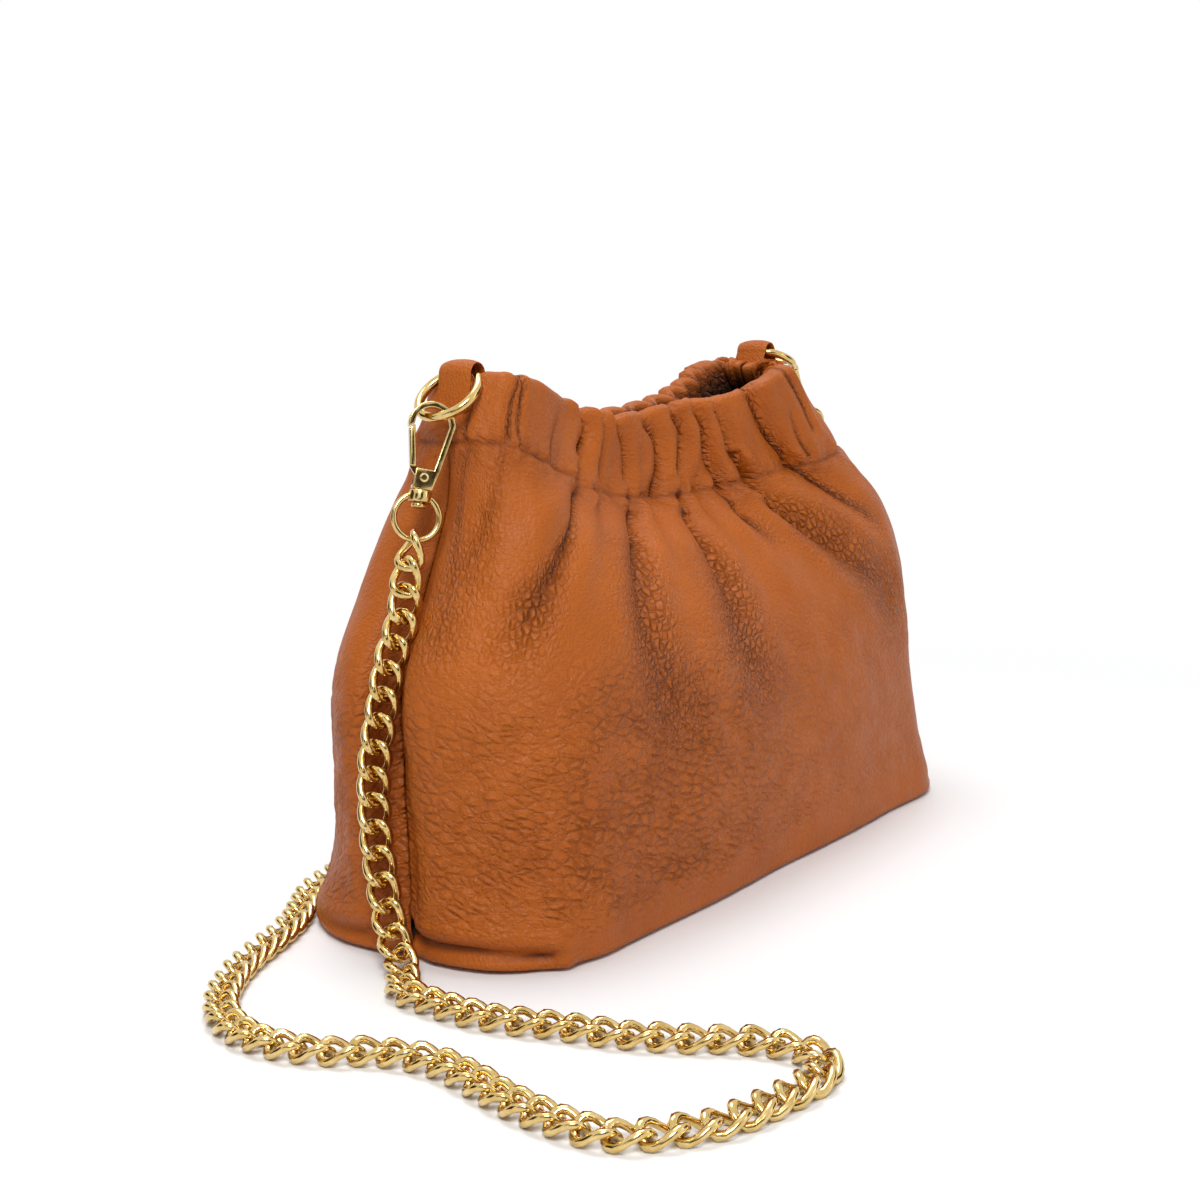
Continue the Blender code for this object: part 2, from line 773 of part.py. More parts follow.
def make_spring(word):
    """One open turn of wire round the rivet, beside the root of the gate."""
    beside = slot_width / 2 - pin_clearance - spring_wire / 2
    radius = (spring_diameter - spring_wire) / 2
    points = []
    for i in range(12):
        angle = math.radians(60 + 300 * i / 11)
        points.append((radius * math.cos(angle), beside, radius * math.sin(angle)))
    name = word + "_gate_spring"
    frame = clip_frame(word) @ Matrix.Translation((0, 0, rivet_height))
    tube(name, points, spring_wire, steel_material(name), 1, frame)


def make_swivel(word):
    """The swivel: a boss that turns on the hook's stem, with the ring for the chain."""
    name = word + "_swivel"
    middle = (boss_top + boss_bottom) / 2
    frame = clip_frame(word) @ Matrix.Translation((0, 0, middle))
    centre = Vector((0, 0, swivel_height - middle))
    bm = torus_mesh(swivel_radius, swivel_wire, centre)
    swivel = add_object(name, bm, gold_material(name), frame)
    half, r = boss_height / 2, boss_diameter / 2
    boss = lathe_mesh([
        (r - edge_break, -half), (r, -half + edge_break),
        (r, half - edge_break), (r - edge_break, half),
    ])
    apply_cut(swivel, "UNION", boss, frame)
    hole = stem_diameter / 2 + fit_gap
    bore = lathe_mesh([(hole, -boss_height), (hole, boss_height)], "Z", 16)
    apply_cut(swivel, "DIFFERENCE", bore, frame)


# Route of the chain, chosen by hand. Each drop starts straight below its clip, and the
# floor stretches lie one radius above the surface.
floor_clearance = 0.0001
floor = chain_diameter / 2 + floor_clearance
left_drop_points = [
    (-0.1192, 0.0012, 0.0985), (-0.1226, 0.0042, 0.0850), (-0.1252, 0.0065, 0.0700),
    (-0.1278, 0.0078, 0.0550), (-0.1290, 0.0076, 0.0400), (-0.1306, 0.0050, 0.0250),
    (-0.1345, -0.0010, 0.0115),
]
floor_points = [
    (-0.1415, -0.0110), (-0.1518, -0.0206), (-0.1544, -0.0336),
    (-0.1555, -0.0445), (-0.1544, -0.0571), (-0.1508, -0.0715), (-0.1485, -0.0844),
    (-0.1451, -0.0953), (-0.1409, -0.1052), (-0.1361, -0.1148), (-0.1335, -0.1250),
    (-0.1345, -0.1340), (-0.1400, -0.1400), (-0.1490, -0.1419), (-0.1580, -0.1407),
    (-0.1671, -0.1388), (-0.1765, -0.1361), (-0.1832, -0.1318), (-0.1890, -0.1269),
    (-0.1940, -0.1210), (-0.1960, -0.1130), (-0.1957, -0.1044), (-0.1944, -0.0957),
    (-0.1920, -0.0860), (-0.1880, -0.0742), (-0.1846, -0.0619), (-0.1844, -0.0519),
    (-0.1872, -0.0415), (-0.1920, -0.0325), (-0.1953, -0.0222), (-0.1958, -0.0117),
    (-0.1935, -0.0001), (-0.1872, 0.0113), (-0.1786, 0.0203), (-0.1687, 0.0273),
    (-0.1577, 0.0333), (-0.1462, 0.0379), (-0.1330, 0.0430), (-0.1220, 0.0485),
    (-0.1110, 0.0560),
]
back_points = [
    (-0.1000, 0.0630), (-0.0800, 0.0700), (-0.0550, 0.0740), (-0.0300, 0.0700),
    (-0.0050, 0.0650), (0.0200, 0.0670), (0.0450, 0.0740), (0.0700, 0.0790),
    (0.0950, 0.0770), (0.1180, 0.0660), (0.1350, 0.0480), (0.1430, 0.0280),
    (0.1420, 0.0130),
]
right_drop_points = [
    (0.1400, 0.0040, 0.0110), (0.1360, 0.0030, 0.0250), (0.1345, 0.0040, 0.0420),
    (0.1340, 0.0045, 0.0580), (0.1335, 0.0045, 0.0740), (0.1320, 0.0030, 0.0900),
    (0.1280, 0.0010, 0.1050),
]


def chain_start(word):
    """Where the chain leaves a swivel, and the way it leaves."""
    frame = clip_frame(word)
    start = frame @ Vector((0, 0, clip_end - fit_gap))
    along = frame.to_3x3() @ Vector((0, 0, -1))
    return start, along


def smooth_route(points, step):
    """Evenly spaced points on one smooth curve through the route's points."""
    padded = [2 * points[0] - points[1]] + points + [2 * points[-1] - points[-2]]
    fine = []
    pieces = 24
    for span in range(len(points) - 1):
        for i in range(pieces):
            fine.append(curve_point(*padded[span:span + 4], i / pieces))
    fine.append(points[-1].copy())
    lengths = [0.0]
    for a, b in zip(fine, fine[1:]):
        lengths.append(lengths[-1] + (b - a).length)
    count = max(2, round(lengths[-1] / step))
    even, place = [], 0
    for i in range(count + 1):
        wanted = lengths[-1] * i / count
        while place < len(fine) - 2 and lengths[place + 1] < wanted:
            place += 1
        span = lengths[place + 1] - lengths[place]
        spot = fine[place].lerp(fine[place + 1], (wanted - lengths[place]) / span)
        spot.z = max(spot.z, floor)
        even.append(spot)
    return even, lengths[-1]


def cut_stretches(route, breaks):
    """Split the route at the point numbers given, with a gap between the stretches.
    Each stretch runs straight for a short way at a cut, square to the gap."""
    stretches = []
    for start, end in zip(breaks, breaks[1:]):
        stretch = [p.copy() for p in route[start:end + 1]]
        if start > 0:
            ahead = (route[start + 1] - route[start - 1]).normalized()
            lead = route[start] + ahead * chain_diameter / 2
            stretch[0:1] = [route[start] + ahead * fit_gap / 2, lead]
        if end < len(route) - 1:
            back = (route[end - 1] - route[end + 1]).normalized()
            lead = route[end] + back * chain_diameter / 2
            stretch[-1:] = [lead, route[end] + back * fit_gap / 2]
        stretches.append(stretch)
    return stretches


def make_chain():
    """The chain from clip to clip, as plain tubes in five stretches."""
    left, left_along = chain_start("left")
    right, right_along = chain_start("right")
    lead = 1.2 * chain_diameter
    points = [left, left + left_along * lead]
    points += [Vector(p) for p in left_drop_points]
    points += [Vector((x, y, floor)) for x, y in floor_points + back_points]
    points += [Vector(p) for p in right_drop_points]
    points += [right + right_along * lead, right]
    route, length = smooth_route(points, chain_step)
    print("chain length", round(length, 4), "points", len(route))
    low = [i for i, p in enumerate(route) if p.z < floor + edge_break]
    behind = [i for i in low if route[i].y > half_depth and route[i].x > -half_length]
    breaks = [0, low[0] + 1, behind[0], low[-1] - 1, len(route) - 1]
    names = ["chain_left_drop", "chain_floor", "chain_back", "chain_right_drop"]
    for name, stretch in zip(names, cut_stretches(route, breaks)):
        tube(name, stretch, chain_diameter, gold_material(name), 2)


def main():
    for obj in list(bpy.data.objects):
        bpy.data.objects.remove(obj, do_unlink=True)
    make_panel("front_panel", -1)
    make_panel("back_panel", 1)
    make_lining("front_lining", -1)
    make_lining("back_lining", 1)
    make_elastic()
    make_snap()
    for word in ("left", "right"):
        make_tab(word)
        make_ring(word)
        make_hook(word)
        make_gate(word)
        make_rivet(word)
        make_spring(word)
        make_swivel(word)
    make_chain()


main()
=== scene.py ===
# %% [markdown]
# # A leather pouch with a gathered mouth and a clip-on chain
#
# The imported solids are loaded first. They are the frame: every new piece is made in the
# same metres and the same axes, so nothing has to be fitted afterwards. +Z is up, +X runs
# along the pouch, -Y is its front, and the pouch stands on Z = 0.

# %% Load the frame
import math

import bpy
import numpy as np
from mathutils import Matrix, Vector, noise


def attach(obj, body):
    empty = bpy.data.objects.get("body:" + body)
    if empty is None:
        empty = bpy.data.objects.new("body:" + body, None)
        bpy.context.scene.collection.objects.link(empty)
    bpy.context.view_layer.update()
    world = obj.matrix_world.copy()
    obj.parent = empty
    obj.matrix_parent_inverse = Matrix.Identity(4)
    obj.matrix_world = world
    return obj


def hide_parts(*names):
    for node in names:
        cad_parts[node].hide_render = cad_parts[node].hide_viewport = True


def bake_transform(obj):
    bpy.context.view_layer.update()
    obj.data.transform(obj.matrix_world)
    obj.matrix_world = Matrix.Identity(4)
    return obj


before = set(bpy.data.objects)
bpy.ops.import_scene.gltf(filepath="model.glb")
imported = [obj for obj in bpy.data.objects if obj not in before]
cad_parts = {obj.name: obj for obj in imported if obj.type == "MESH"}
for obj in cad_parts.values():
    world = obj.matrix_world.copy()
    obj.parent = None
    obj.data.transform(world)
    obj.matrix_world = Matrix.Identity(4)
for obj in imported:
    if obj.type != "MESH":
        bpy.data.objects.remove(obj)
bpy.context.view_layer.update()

# %% [markdown]
# ## The camera
#
# The picture was taken from the left front corner with a long lens, a little above the
# pouch. The camera is built from three angles: how far round it stands, how far it looks
# down, and how far it is tipped sideways.

# %% Camera
camera_place = (-0.5024, -0.3393, 0.1786)
turn_round, look_down, tip = math.radians(54.5), math.radians(8.8), math.radians(-2.12)
view_way = Vector((
    math.sin(turn_round) * math.cos(look_down), math.cos(turn_round) * math.cos(look_down),
    -math.sin(look_down),
))
level_right = Vector((math.cos(turn_round), -math.sin(turn_round), 0))
level_up = level_right.cross(view_way)
camera_right = level_right * math.cos(tip) + level_up * math.sin(tip)
camera_up = level_up * math.cos(tip) - level_right * math.sin(tip)
camera_data = bpy.data.cameras.new("camera")
camera_data.sensor_width = 36
camera_data.lens = 55.47
camera_data.clip_start = 0.01
camera = bpy.data.objects.new("camera", camera_data)
bpy.context.scene.collection.objects.link(camera)
axes = Matrix((camera_right, camera_up, -view_way)).transposed().to_4x4()
camera.matrix_world = Matrix.Translation(camera_place) @ axes
bpy.context.scene.camera = camera

# %% [markdown]
# ## Shader maths as Python
#
# A material is a graph of nodes. Writing it as a graph by hand is long, so a small class
# wraps one output socket: adding, multiplying or subtracting two of them adds the Math
# node. Everything else comes from one method, `add`.


# %% A socket that can be used in sums
class Wire:
    """One output socket. Sums on it add Math nodes."""

    def __init__(self, tree, socket):
        self.tree, self.socket = tree, socket

    def math(self, operation, first, second):
        values = {0: first, 1: second}
        return add_node(self.tree, "ShaderNodeMath", {"operation": operation}, values)

    def __add__(self, other):
        return self.math("ADD", self, other)

    def __rsub__(self, other):
        return self.math("SUBTRACT", other, self)

    def __mul__(self, other):
        return self.math("MULTIPLY", self, other)

    __radd__, __rmul__ = __add__, __mul__


def add_node(tree, kind, settings=None, values=None, output=0):
    """Adds a node, sets its settings, then fills or links its sockets."""
    node = tree.nodes.new(kind)
    for key, value in (settings or {}).items():
        setattr(node, key, value)
    for key, value in (values or {}).items():
        if isinstance(value, Wire):
            tree.links.new(value.socket, node.inputs[key])
        elif isinstance(value, tuple) and len(value) == 3 and node.inputs[key].type == "RGBA":
            node.inputs[key].default_value = (*value, 1)
        else:
            node.inputs[key].default_value = value
    return Wire(tree, node.outputs[output])


class Finish:
    """A material, its shader and its nodes."""

    def __init__(self, name, **constants):
        self.material = bpy.data.materials.new(name)
        self.material.use_nodes = True
        self.tree = self.material.node_tree
        self.shader = self.tree.nodes["Principled BSDF"]
        for key, value in constants.items():
            socket = self.shader.inputs[key.replace("_", " ")]
            socket.default_value = (*value, 1) if isinstance(value, tuple) else value

    def add(self, kind, settings=None, values=None, output=0):
        return add_node(self.tree, kind, settings, values, output)

    def vectors(self, operation, values, output=0):
        return self.add("ShaderNodeVectorMath", {"operation": operation}, values, output)

    def feed(self, socket, wire):
        self.tree.links.new(wire.socket, self.shader.inputs[socket])

    def places(self, layer=None, turn=0.0):
        """Where the surface point is: in the object, or on the named UV map."""
        if layer:
            start = self.add("ShaderNodeUVMap", {"uv_map": layer})
        else:
            start = self.add("ShaderNodeTexCoord", output=3)
        return self.add("ShaderNodeMapping", {}, {"Vector": start, "Rotation": (0, 0, turn)})

    def cloud(self, scale, detail=2.0, roughness=0.5):
        """Soft noise through the object, in patches of about one part in `scale` of a metre."""
        return self.add("ShaderNodeTexNoise", {}, {
            "Vector": self.places(), "Scale": scale, "Detail": detail, "Roughness": roughness,
        })

    def painted(self, name):
        """A value painted on the mesh, one for each vertex."""
        return self.add("ShaderNodeAttribute", {"attribute_name": name}, output=2)

    def blend(self, share, first, second):
        """Mixes two colours."""
        return self.add("ShaderNodeMix", {"data_type": "RGBA"}, {0: share, 6: first, 7: second}, 2)

    def fit(self, value, low, high, new_low=0.0, new_high=1.0):
        """Carries a value from one range to another, and keeps it inside."""
        return self.add("ShaderNodeMapRange", {}, {
            "Value": value, "From Min": low, "From Max": high,
            "To Min": new_low, "To Max": new_high,
        })

    def bump(self, height, depth, strength=1.0):
        values = {"Height": height, "Distance": depth, "Strength": strength}
        return self.add("ShaderNodeBump", {}, values)


# %% [markdown]
# ## Working as by hand
#
# These helpers do what a person does between steps: clear the selection, join pieces,
# apply a modifier, and hand a finished piece to the body that carries it.


# %% Helpers for pieces
def clear_selection():
    for other in bpy.context.selected_objects:
        other.select_set(False)


def pick(piece):
    clear_selection()
    piece.select_set(True)
    bpy.context.view_layer.objects.active = piece


def join(pieces):
    """Joins all the pieces into the first."""
    pick(pieces[0])
    for piece in pieces:
        piece.select_set(True)
    bpy.ops.object.join()
    return pieces[0]


def new_piece(operator, **settings):
    """Adds a primitive with nothing else selected."""
    clear_selection()
    operator(**settings)
    return bpy.context.object


def edit_whole(piece, operator, **settings):
    """Runs one edit-mode operator on the whole mesh."""
    pick(piece)
    bpy.ops.object.mode_set(mode="EDIT")
    bpy.ops.mesh.select_all(action="SELECT")
    operator(**settings)
    bpy.ops.object.mode_set(mode="OBJECT")


def apply_modifier(piece, kind, **settings):
    pick(piece)
    modifier = piece.modifiers.new(kind.lower(), kind)
    for key, value in settings.items():
        setattr(modifier, key, value)
    bpy.ops.object.modifier_apply(modifier=modifier.name)


def settle(piece):
    """Moves the piece's place into its mesh, so that its object sits at the origin."""
    pick(piece)
    bpy.ops.object.transform_apply(location=True, rotation=True, scale=True)


def hand_over(piece, name, finish, body="pouch", stands_for=(), smooth_to=None):
    piece.name = piece.data.name = name
    piece.data.materials.clear()
    piece.data.materials.append(finish.material)
    pick(piece)
    if smooth_to is None:
        bpy.ops.object.shade_smooth()
    else:
        bpy.ops.object.shade_smooth_by_angle(angle=math.radians(smooth_to))
    if body:
        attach(piece, body)
    if stands_for:
        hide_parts(*stands_for)
    print(name, len(piece.data.polygons), "faces")
    return piece


# %% [markdown]
# ## Gold-coloured plating
#
# The clips, rings and chain are cast or wound metal with a thin, pale gold plating. It is
# almost a mirror, so it takes its look from what stands round it. A faint cloud in the
# roughness and a very shallow bump break up the reflections as real plating does.

# %% Plating
plating = Finish("pale gold plating", Metallic=1.0, Roughness=0.14)
cloud = plating.cloud(260.0, 3.0, 0.6)
tone = plating.fit(cloud, 0.35, 0.65)
plating.feed("Base Color", plating.blend(tone, (0.62, 0.425, 0.145), (0.77, 0.57, 0.25)))
plating.feed("Roughness", plating.fit(cloud, 0.3, 0.7, 0.09, 0.2))
plating.feed("Normal", plating.bump(plating.cloud(900.0), 0.00002, 0.5))

# %% [markdown]
# ## Where the clips end
#
# Both ends of the chain hang from a clip, and each clip hangs from a ring in a tab. The
# frame of a clip has its origin on the ring's wire and -Z along the clip, so the places on
# the clip are plain heights.

# %% Frames of the rings and clips
tab_x = {"left": -0.0905, "right": 0.0750}
tab_axis_height = 0.1630
tab_width = 0.0118
ring_diameter, ring_wire = 0.0216, 0.00275
ring_radius = (ring_diameter - ring_wire) / 2
ring_sag = ring_radius - math.sqrt(ring_radius ** 2 - (tab_width / 2) ** 2)
ring_offset = ring_radius - ring_sag / 2
ring_low = 2 * ring_radius - ring_sag / 2
ring_lean = {"left": math.radians(50), "right": math.radians(66)}
clip_tilt = {"left": math.radians(18.5), "right": math.radians(43)}
clip_turn = math.radians(40)
hook_width, hook_arm, hook_depth = 0.0133, 0.00175, 0.0029
hook_seat, eye_length, hook_length = 0.0026, 0.0194, 0.0252
fit_gap = 0.0003
hook_top = hook_seat + hook_arm
hook_end = hook_top - hook_length
eye_floor = hook_top - eye_length
eye_centre = hook_top - hook_width / 2
boss_top = hook_end - fit_gap
boss_diameter, boss_height = 0.0064, 0.0034
swivel_diameter, swivel_wire = 0.0146, 0.0017
swivel_height = boss_top - swivel_diameter / 2 - fit_gap
swivel_radius = (swivel_diameter - swivel_wire) / 2
clip_end = swivel_height - swivel_diameter / 2


def side_frame(word):
    turned = Matrix.Rotation(math.pi if word == "left" else 0.0, 4, "Z")
    return Matrix.Translation((tab_x[word], 0, tab_axis_height)) @ turned


def clip_frame(word):
    lean = ring_lean[word]
    low = Vector((math.sin(lean), 0, -math.cos(lean))) * ring_low
    hung = side_frame(word) @ Matrix.Translation(low)
    hung = hung @ Matrix.Rotation(-clip_tilt[word], 4, "Y")
    return hung @ Matrix.Rotation(math.pi - clip_turn, 4, "Z")


# %% [markdown]
# ## The chain's route
#
# A chain has no stiffness of its own: it hangs straight down from its clip and then lies
# on the surface in easy curves. Its route was chosen and is read from one smooth
# curve, so that the links never meet at a kink.

# %% Route of the chain
link_pitch, link_wire, link_width = 0.0075, 0.0025, 0.0100
link_length = link_pitch + link_wire + 0.0003
link_rise = 0.0018
link_face = 0.0027
left_drop_points = [
    (-0.1192, 0.0012, 0.0985), (-0.1226, 0.0042, 0.0850), (-0.1252, 0.0065, 0.0700),
    (-0.1278, 0.0078, 0.0550), (-0.1290, 0.0076, 0.0400), (-0.1306, 0.0050, 0.0250),
    (-0.1345, -0.0010, 0.0115),
]
floor_points = [
    (-0.1415, -0.0110), (-0.1518, -0.0206), (-0.1544, -0.0336),
    (-0.1555, -0.0445), (-0.1544, -0.0571), (-0.1508, -0.0715), (-0.1485, -0.0844),
    (-0.1451, -0.0953), (-0.1409, -0.1052), (-0.1361, -0.1148), (-0.1335, -0.1250),
    (-0.1345, -0.1340), (-0.1400, -0.1400), (-0.1490, -0.1419), (-0.1580, -0.1407),
    (-0.1671, -0.1388), (-0.1765, -0.1361), (-0.1832, -0.1318), (-0.1890, -0.1269),
    (-0.1940, -0.1210), (-0.1960, -0.1130), (-0.1957, -0.1044), (-0.1944, -0.0957),
    (-0.1920, -0.0860), (-0.1880, -0.0742), (-0.1846, -0.0619), (-0.1844, -0.0519),
    (-0.1872, -0.0415), (-0.1920, -0.0325), (-0.1953, -0.0222), (-0.1958, -0.0117),
    (-0.1935, -0.0001), (-0.1872, 0.0113), (-0.1786, 0.0203), (-0.1687, 0.0273),
    (-0.1577, 0.0333), (-0.1462, 0.0379), (-0.1330, 0.0430), (-0.1220, 0.0485),
    (-0.1110, 0.0560),
]
back_points = [
    (-0.1000, 0.0630), (-0.0800, 0.0700), (-0.0550, 0.0740), (-0.0300, 0.0700),
    (-0.0050, 0.0650), (0.0200, 0.0670), (0.0450, 0.0740), (0.0700, 0.0790),
    (0.0950, 0.0770), (0.1180, 0.0660), (0.1350, 0.0480), (0.1430, 0.0280),
    (0.1420, 0.0130),
]
right_drop_points = [
    (0.1400, 0.0040, 0.0110), (0.1360, 0.0030, 0.0250), (0.1345, 0.0040, 0.0420),
    (0.1340, 0.0045, 0.0580), (0.1335, 0.0045, 0.0740), (0.1320, 0.0030, 0.0900),
    (0.1280, 0.0010, 0.1050),
]


def curve_point(before, start, end, after, share):
    """Point on the smooth curve from start to end, with tangents that allow for
    unlike spans."""
    last, here, ahead = (start - before).length, (end - start).length, (after - end).length
    slope_start = (start - before) / last - (end - before) / (last + here)
    slope_end = (after - end) / ahead - (after - start) / (here + ahead)
    leave = here * slope_start + end - start
    arrive = here * slope_end + end - start
    square = share * share
    cube = square * share
    return (
        start * (2 * cube - 3 * square + 1) + leave * (cube - 2 * square + share)
        + end * (3 * square - 2 * cube) + arrive * (cube - square)
    )


def chain_start(word):
    clip = clip_frame(word)
    return clip @ Vector((0, 0, clip_end - fit_gap)), clip.to_3x3() @ Vector((0, 0, -1))


left_end, left_way = chain_start("left")
right_end, right_way = chain_start("right")
lead, curve_steps = 0.0096, 24
route = [left_end, left_end + left_way * lead]
route += [Vector(p) for p in left_drop_points]
route += [Vector((x, y, link_face)) for x, y in floor_points + back_points]
route += [Vector(p) for p in right_drop_points]
route += [right_end + right_way * lead, right_end]
padded = [2 * route[0] - route[1]] + route + [2 * route[-1] - route[-2]]
fine_route = [
    curve_point(*padded[span:span + 4], step / curve_steps)
    for span in range(len(route) - 1) for step in range(curve_steps)
] + [route[-1]]
for spot in fine_route:
    spot.z = max(spot.z, link_face)
travelled = [0.0]
for start, end in zip(fine_route, fine_route[1:]):
    travelled.append(travelled[-1] + (end - start).length)
travelled = np.array(travelled)
fine_route = np.array(fine_route)
print("chain", round(travelled[-1], 3), "m")


def on_route(distance):
    return Vector([np.interp(distance, travelled, fine_route[:, k]) for k in range(3)])


# %% [markdown]
# ## One link
#
# A curb link is a ring of wire, drawn out long and then twisted, so that the links lie
# flat against each other. A torus gives the wire, its vertices are moved on to the
# twisted oval, and both faces are ground flat, which gives the chain its bright facets.

# %% Model one link
round_radius = 0.004
link = new_piece(bpy.ops.mesh.primitive_torus_add, major_segments=18, minor_segments=8,
                 major_radius=round_radius, minor_radius=link_wire / 2)
for vert in link.data.vertices:
    angle = math.atan2(vert.co.y, vert.co.x)
    offset = vert.co - Vector((math.cos(angle), math.sin(angle), 0)) * round_radius
    vert.co = offset + Vector((
        link_length / 2 * math.cos(angle),
        (link_width - link_wire) / 2 * math.sin(angle),
        -link_rise * math.sin(2 * angle),
    ))
    vert.co.z = max(-link_face, min(link_face, vert.co.z))
print("link faces", len(link.data.polygons))

# %% [markdown]
# ## Which way the chain faces
#
# The flat of the chain faces the viewer where it hangs and upwards on the surface. A face
# is first carried along the route without any twist. At a few places a wish is compared
# with it, and the turns between those places are spread evenly.

# %% Turns of the chain's face
face_step, face_reach = 0.002, 0.004
first_place = 0.0019
clip_face = {
    word: (clip_frame(word).to_3x3() @ Vector((0, 1, 0))).normalized()
    for word in ("left", "right")
}
on_floor = fine_route[:, 2] < link_face + 1e-5
floor_starts = travelled[np.argmax(on_floor)]
floor_ends = travelled[len(travelled) - 1 - np.argmax(on_floor[::-1])]
whole = float(travelled[-1])


def way_at(distance):
    """The direction of the route at a distance along it."""
    ahead = on_route(min(distance + face_reach, whole)) - on_route(max(distance - face_reach, 0))
    return ahead.normalized()


face_wishes = [
    (0, -clip_face["left"]), (0.02, Vector((-0.70, -0.70, 0.1))), (0.05, Vector((-0.72, -0.68, 0))),
    (floor_starts - 0.014, Vector((-0.68, -0.72, 0))), (floor_starts + 0.006, Vector((0, 0, 1))),
    (floor_ends - 0.006, Vector((0, 0, 1))), (floor_ends + 0.032, Vector((0.1, 1, 0))),
    (whole - 0.03, Vector((0.2, 1, 0.1))), (whole, -clip_face["right"]),
]
carried = [face_wishes[0][1]]
for distance in np.arange(0, whole + face_step / 2, face_step):
    ahead = way_at(distance)
    carried.append((carried[-1] - ahead * carried[-1].dot(ahead)).normalized())


def carried_face(distance):
    return carried[min(int(distance / face_step) + 1, len(carried) - 1)]


turns = []
for distance, wish in face_wishes:
    start = carried_face(distance)
    turn = math.atan2(way_at(distance).dot(start.cross(wish)), start.dot(wish))
    last = turns[-1] if turns else turn
    turns.append(turn - math.pi * round((turn - last) / math.pi))
print("turns of the chain's face", [round(math.degrees(v)) for v in turns])

# %% [markdown]
# ## The whole chain
#
# The link is copied along the route, one for each step of the pitch. The first links turn
# a little at a time out of the swivel's ring. The drop is cut into stretches.

# %% Copy the links along the route
half_length, half_depth = 0.1285, 0.0555
link_count = int(round((whole - 2 * first_place) / link_pitch)) + 1
link_step = (whole - 2 * first_place) / (link_count - 1)
end_twists = (62, 32, 10)
jitter_angle, jitter_rate = 0.05, 2.4
sideways_reach, forward_reach, most_lift = 0.0050, 0.0045, 0.0060
first_turning, first_upper, first_lower = 1, 3, 12
left_on_floor, right_on_floor = 14, 12
print("links", link_count, "pitch", round(link_step * 1000, 3), "mm")


def link_frame(distance, twist):
    """Where a link sits and how it is turned. No link dips below the surface."""
    middle, ahead = on_route(distance), way_at(distance)
    turn = np.interp(distance, [place for place, _ in face_wishes], turns)
    across = (Matrix.Rotation(turn, 3, ahead) @ carried_face(distance)).cross(ahead).normalized()
    face = ahead.cross(across)
    turned = Matrix((ahead, across, face)).transposed().to_4x4()
    reach = link_face * abs(face.z) + sideways_reach * abs(across.z) + forward_reach * abs(ahead.z)
    middle.z = max(middle.z, min(reach, most_lift))
    return Matrix.Translation(middle) @ turned @ Matrix.Rotation(twist, 4, "X")


def make_stretch(name, first, last):
    """Copies the link from one number to another and joins the copies."""
    copies = []
    for number in range(first, last):
        from_end = min(number, link_count - 1 - number)
        twist = math.radians(end_twists[from_end]) if from_end < len(end_twists) else 0.0
        jitter = jitter_angle * math.sin(number * jitter_rate)
        copy = bpy.data.objects.new(name, link.data.copy())
        bpy.context.collection.objects.link(copy)
        copy.data.transform(link_frame(first_place + number * link_step, twist + jitter))
        copies.append(copy)
    stretch = hand_over(join(copies), name, plating, None)
    low = first_place + (first - 0.5) * link_step
    high = first_place + (last - 0.5) * link_step
    points = 2 * (last - first)
    path = [tuple(on_route(low + (high - low) * i / points)) for i in range(points + 1)]
    return stretch, path, high - low


def number_at(distance):
    return int(round((float(distance) - first_place) / link_step))


past_corner = (fine_route[:, 1] > half_depth) & (fine_route[:, 0] > -half_length)
behind = number_at(travelled[np.argmax(past_corner)])
left_foot = number_at(floor_starts) + left_on_floor
right_foot = number_at(floor_ends) - right_on_floor
starts = {
    "left_top": 0, "left_turning": first_turning, "left_upper": first_upper,
    "left_lower": first_lower, "floor": left_foot, "back": behind, "right_lower": right_foot,
    "right_upper": link_count - first_lower, "right_turning": link_count - first_upper,
    "right_top": link_count - first_turning,
}
stops = list(starts.values())[1:] + [link_count]
chain = {
    word: make_stretch("chain_links_" + word, first, last)
    for (word, first), last in zip(starts.items(), stops)
}
print("stretches start at links", starts)
bpy.data.objects.remove(link, do_unlink=True)

# %% [markdown]
# ## Hanging the chain
#
# The stretches on the surface stay with the pouch. Where the chain hangs, the top link
# turns with the swivel and the next ones ease that turn out. The two longer stretches
# below them stay where they are made and are given to no body.

# %% Put the surface stretches and the top links on their bodies
for word in ("floor", "back"):
    stretch, path, length = chain[word]
    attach(stretch, "pouch")
for side in ("left", "right"):
    top = chain[side + "_top"][0]
    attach(top, side + "_swivel")
    turning, path, _ = chain[side + "_turning"]
    from_clip = path if side == "left" else path[::-1]
    side + "_swivel"
    side + "_clip"
    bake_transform(turning)
    bodies = {"_upper": (side + "_clip", side + "_ring"), "_lower": (side + "_ring", "pouch")}
    for word, (upper_body, lower_body) in bodies.items():
        stretch, path, length = chain[side + word]
        from_clip = path if side == "left" else path[::-1]
        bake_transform(stretch)
        [top, turning] if word == "_upper" else []
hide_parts("chain_left_drop")
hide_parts("chain_floor")
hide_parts("chain_back")
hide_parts("chain_right_drop")

# %% [markdown]
# ## The shape of the leather
#
# The pouch is two panels, front and back. Each starts at the seam under the bag, turns up
# into the wall, is drawn in along a gathered seam, and turns over at the mouth. The same
# sizes and curves as in the solids give a coarse net of points. A fine net is then read
# from it, and the folds are pressed into the fine net.

# %% Sizes of the leather
end_height, middle_height = 0.1598, 0.1470
seam_heights = {"left": 0.1440, "middle": 0.1195, "right": 0.1290}
leather, seam_gap = 0.0012, 0.0003
fold_width = 0.0054
columns_per_span, fold_steps = 3, 4
outline_points, middle_point = 11, 5

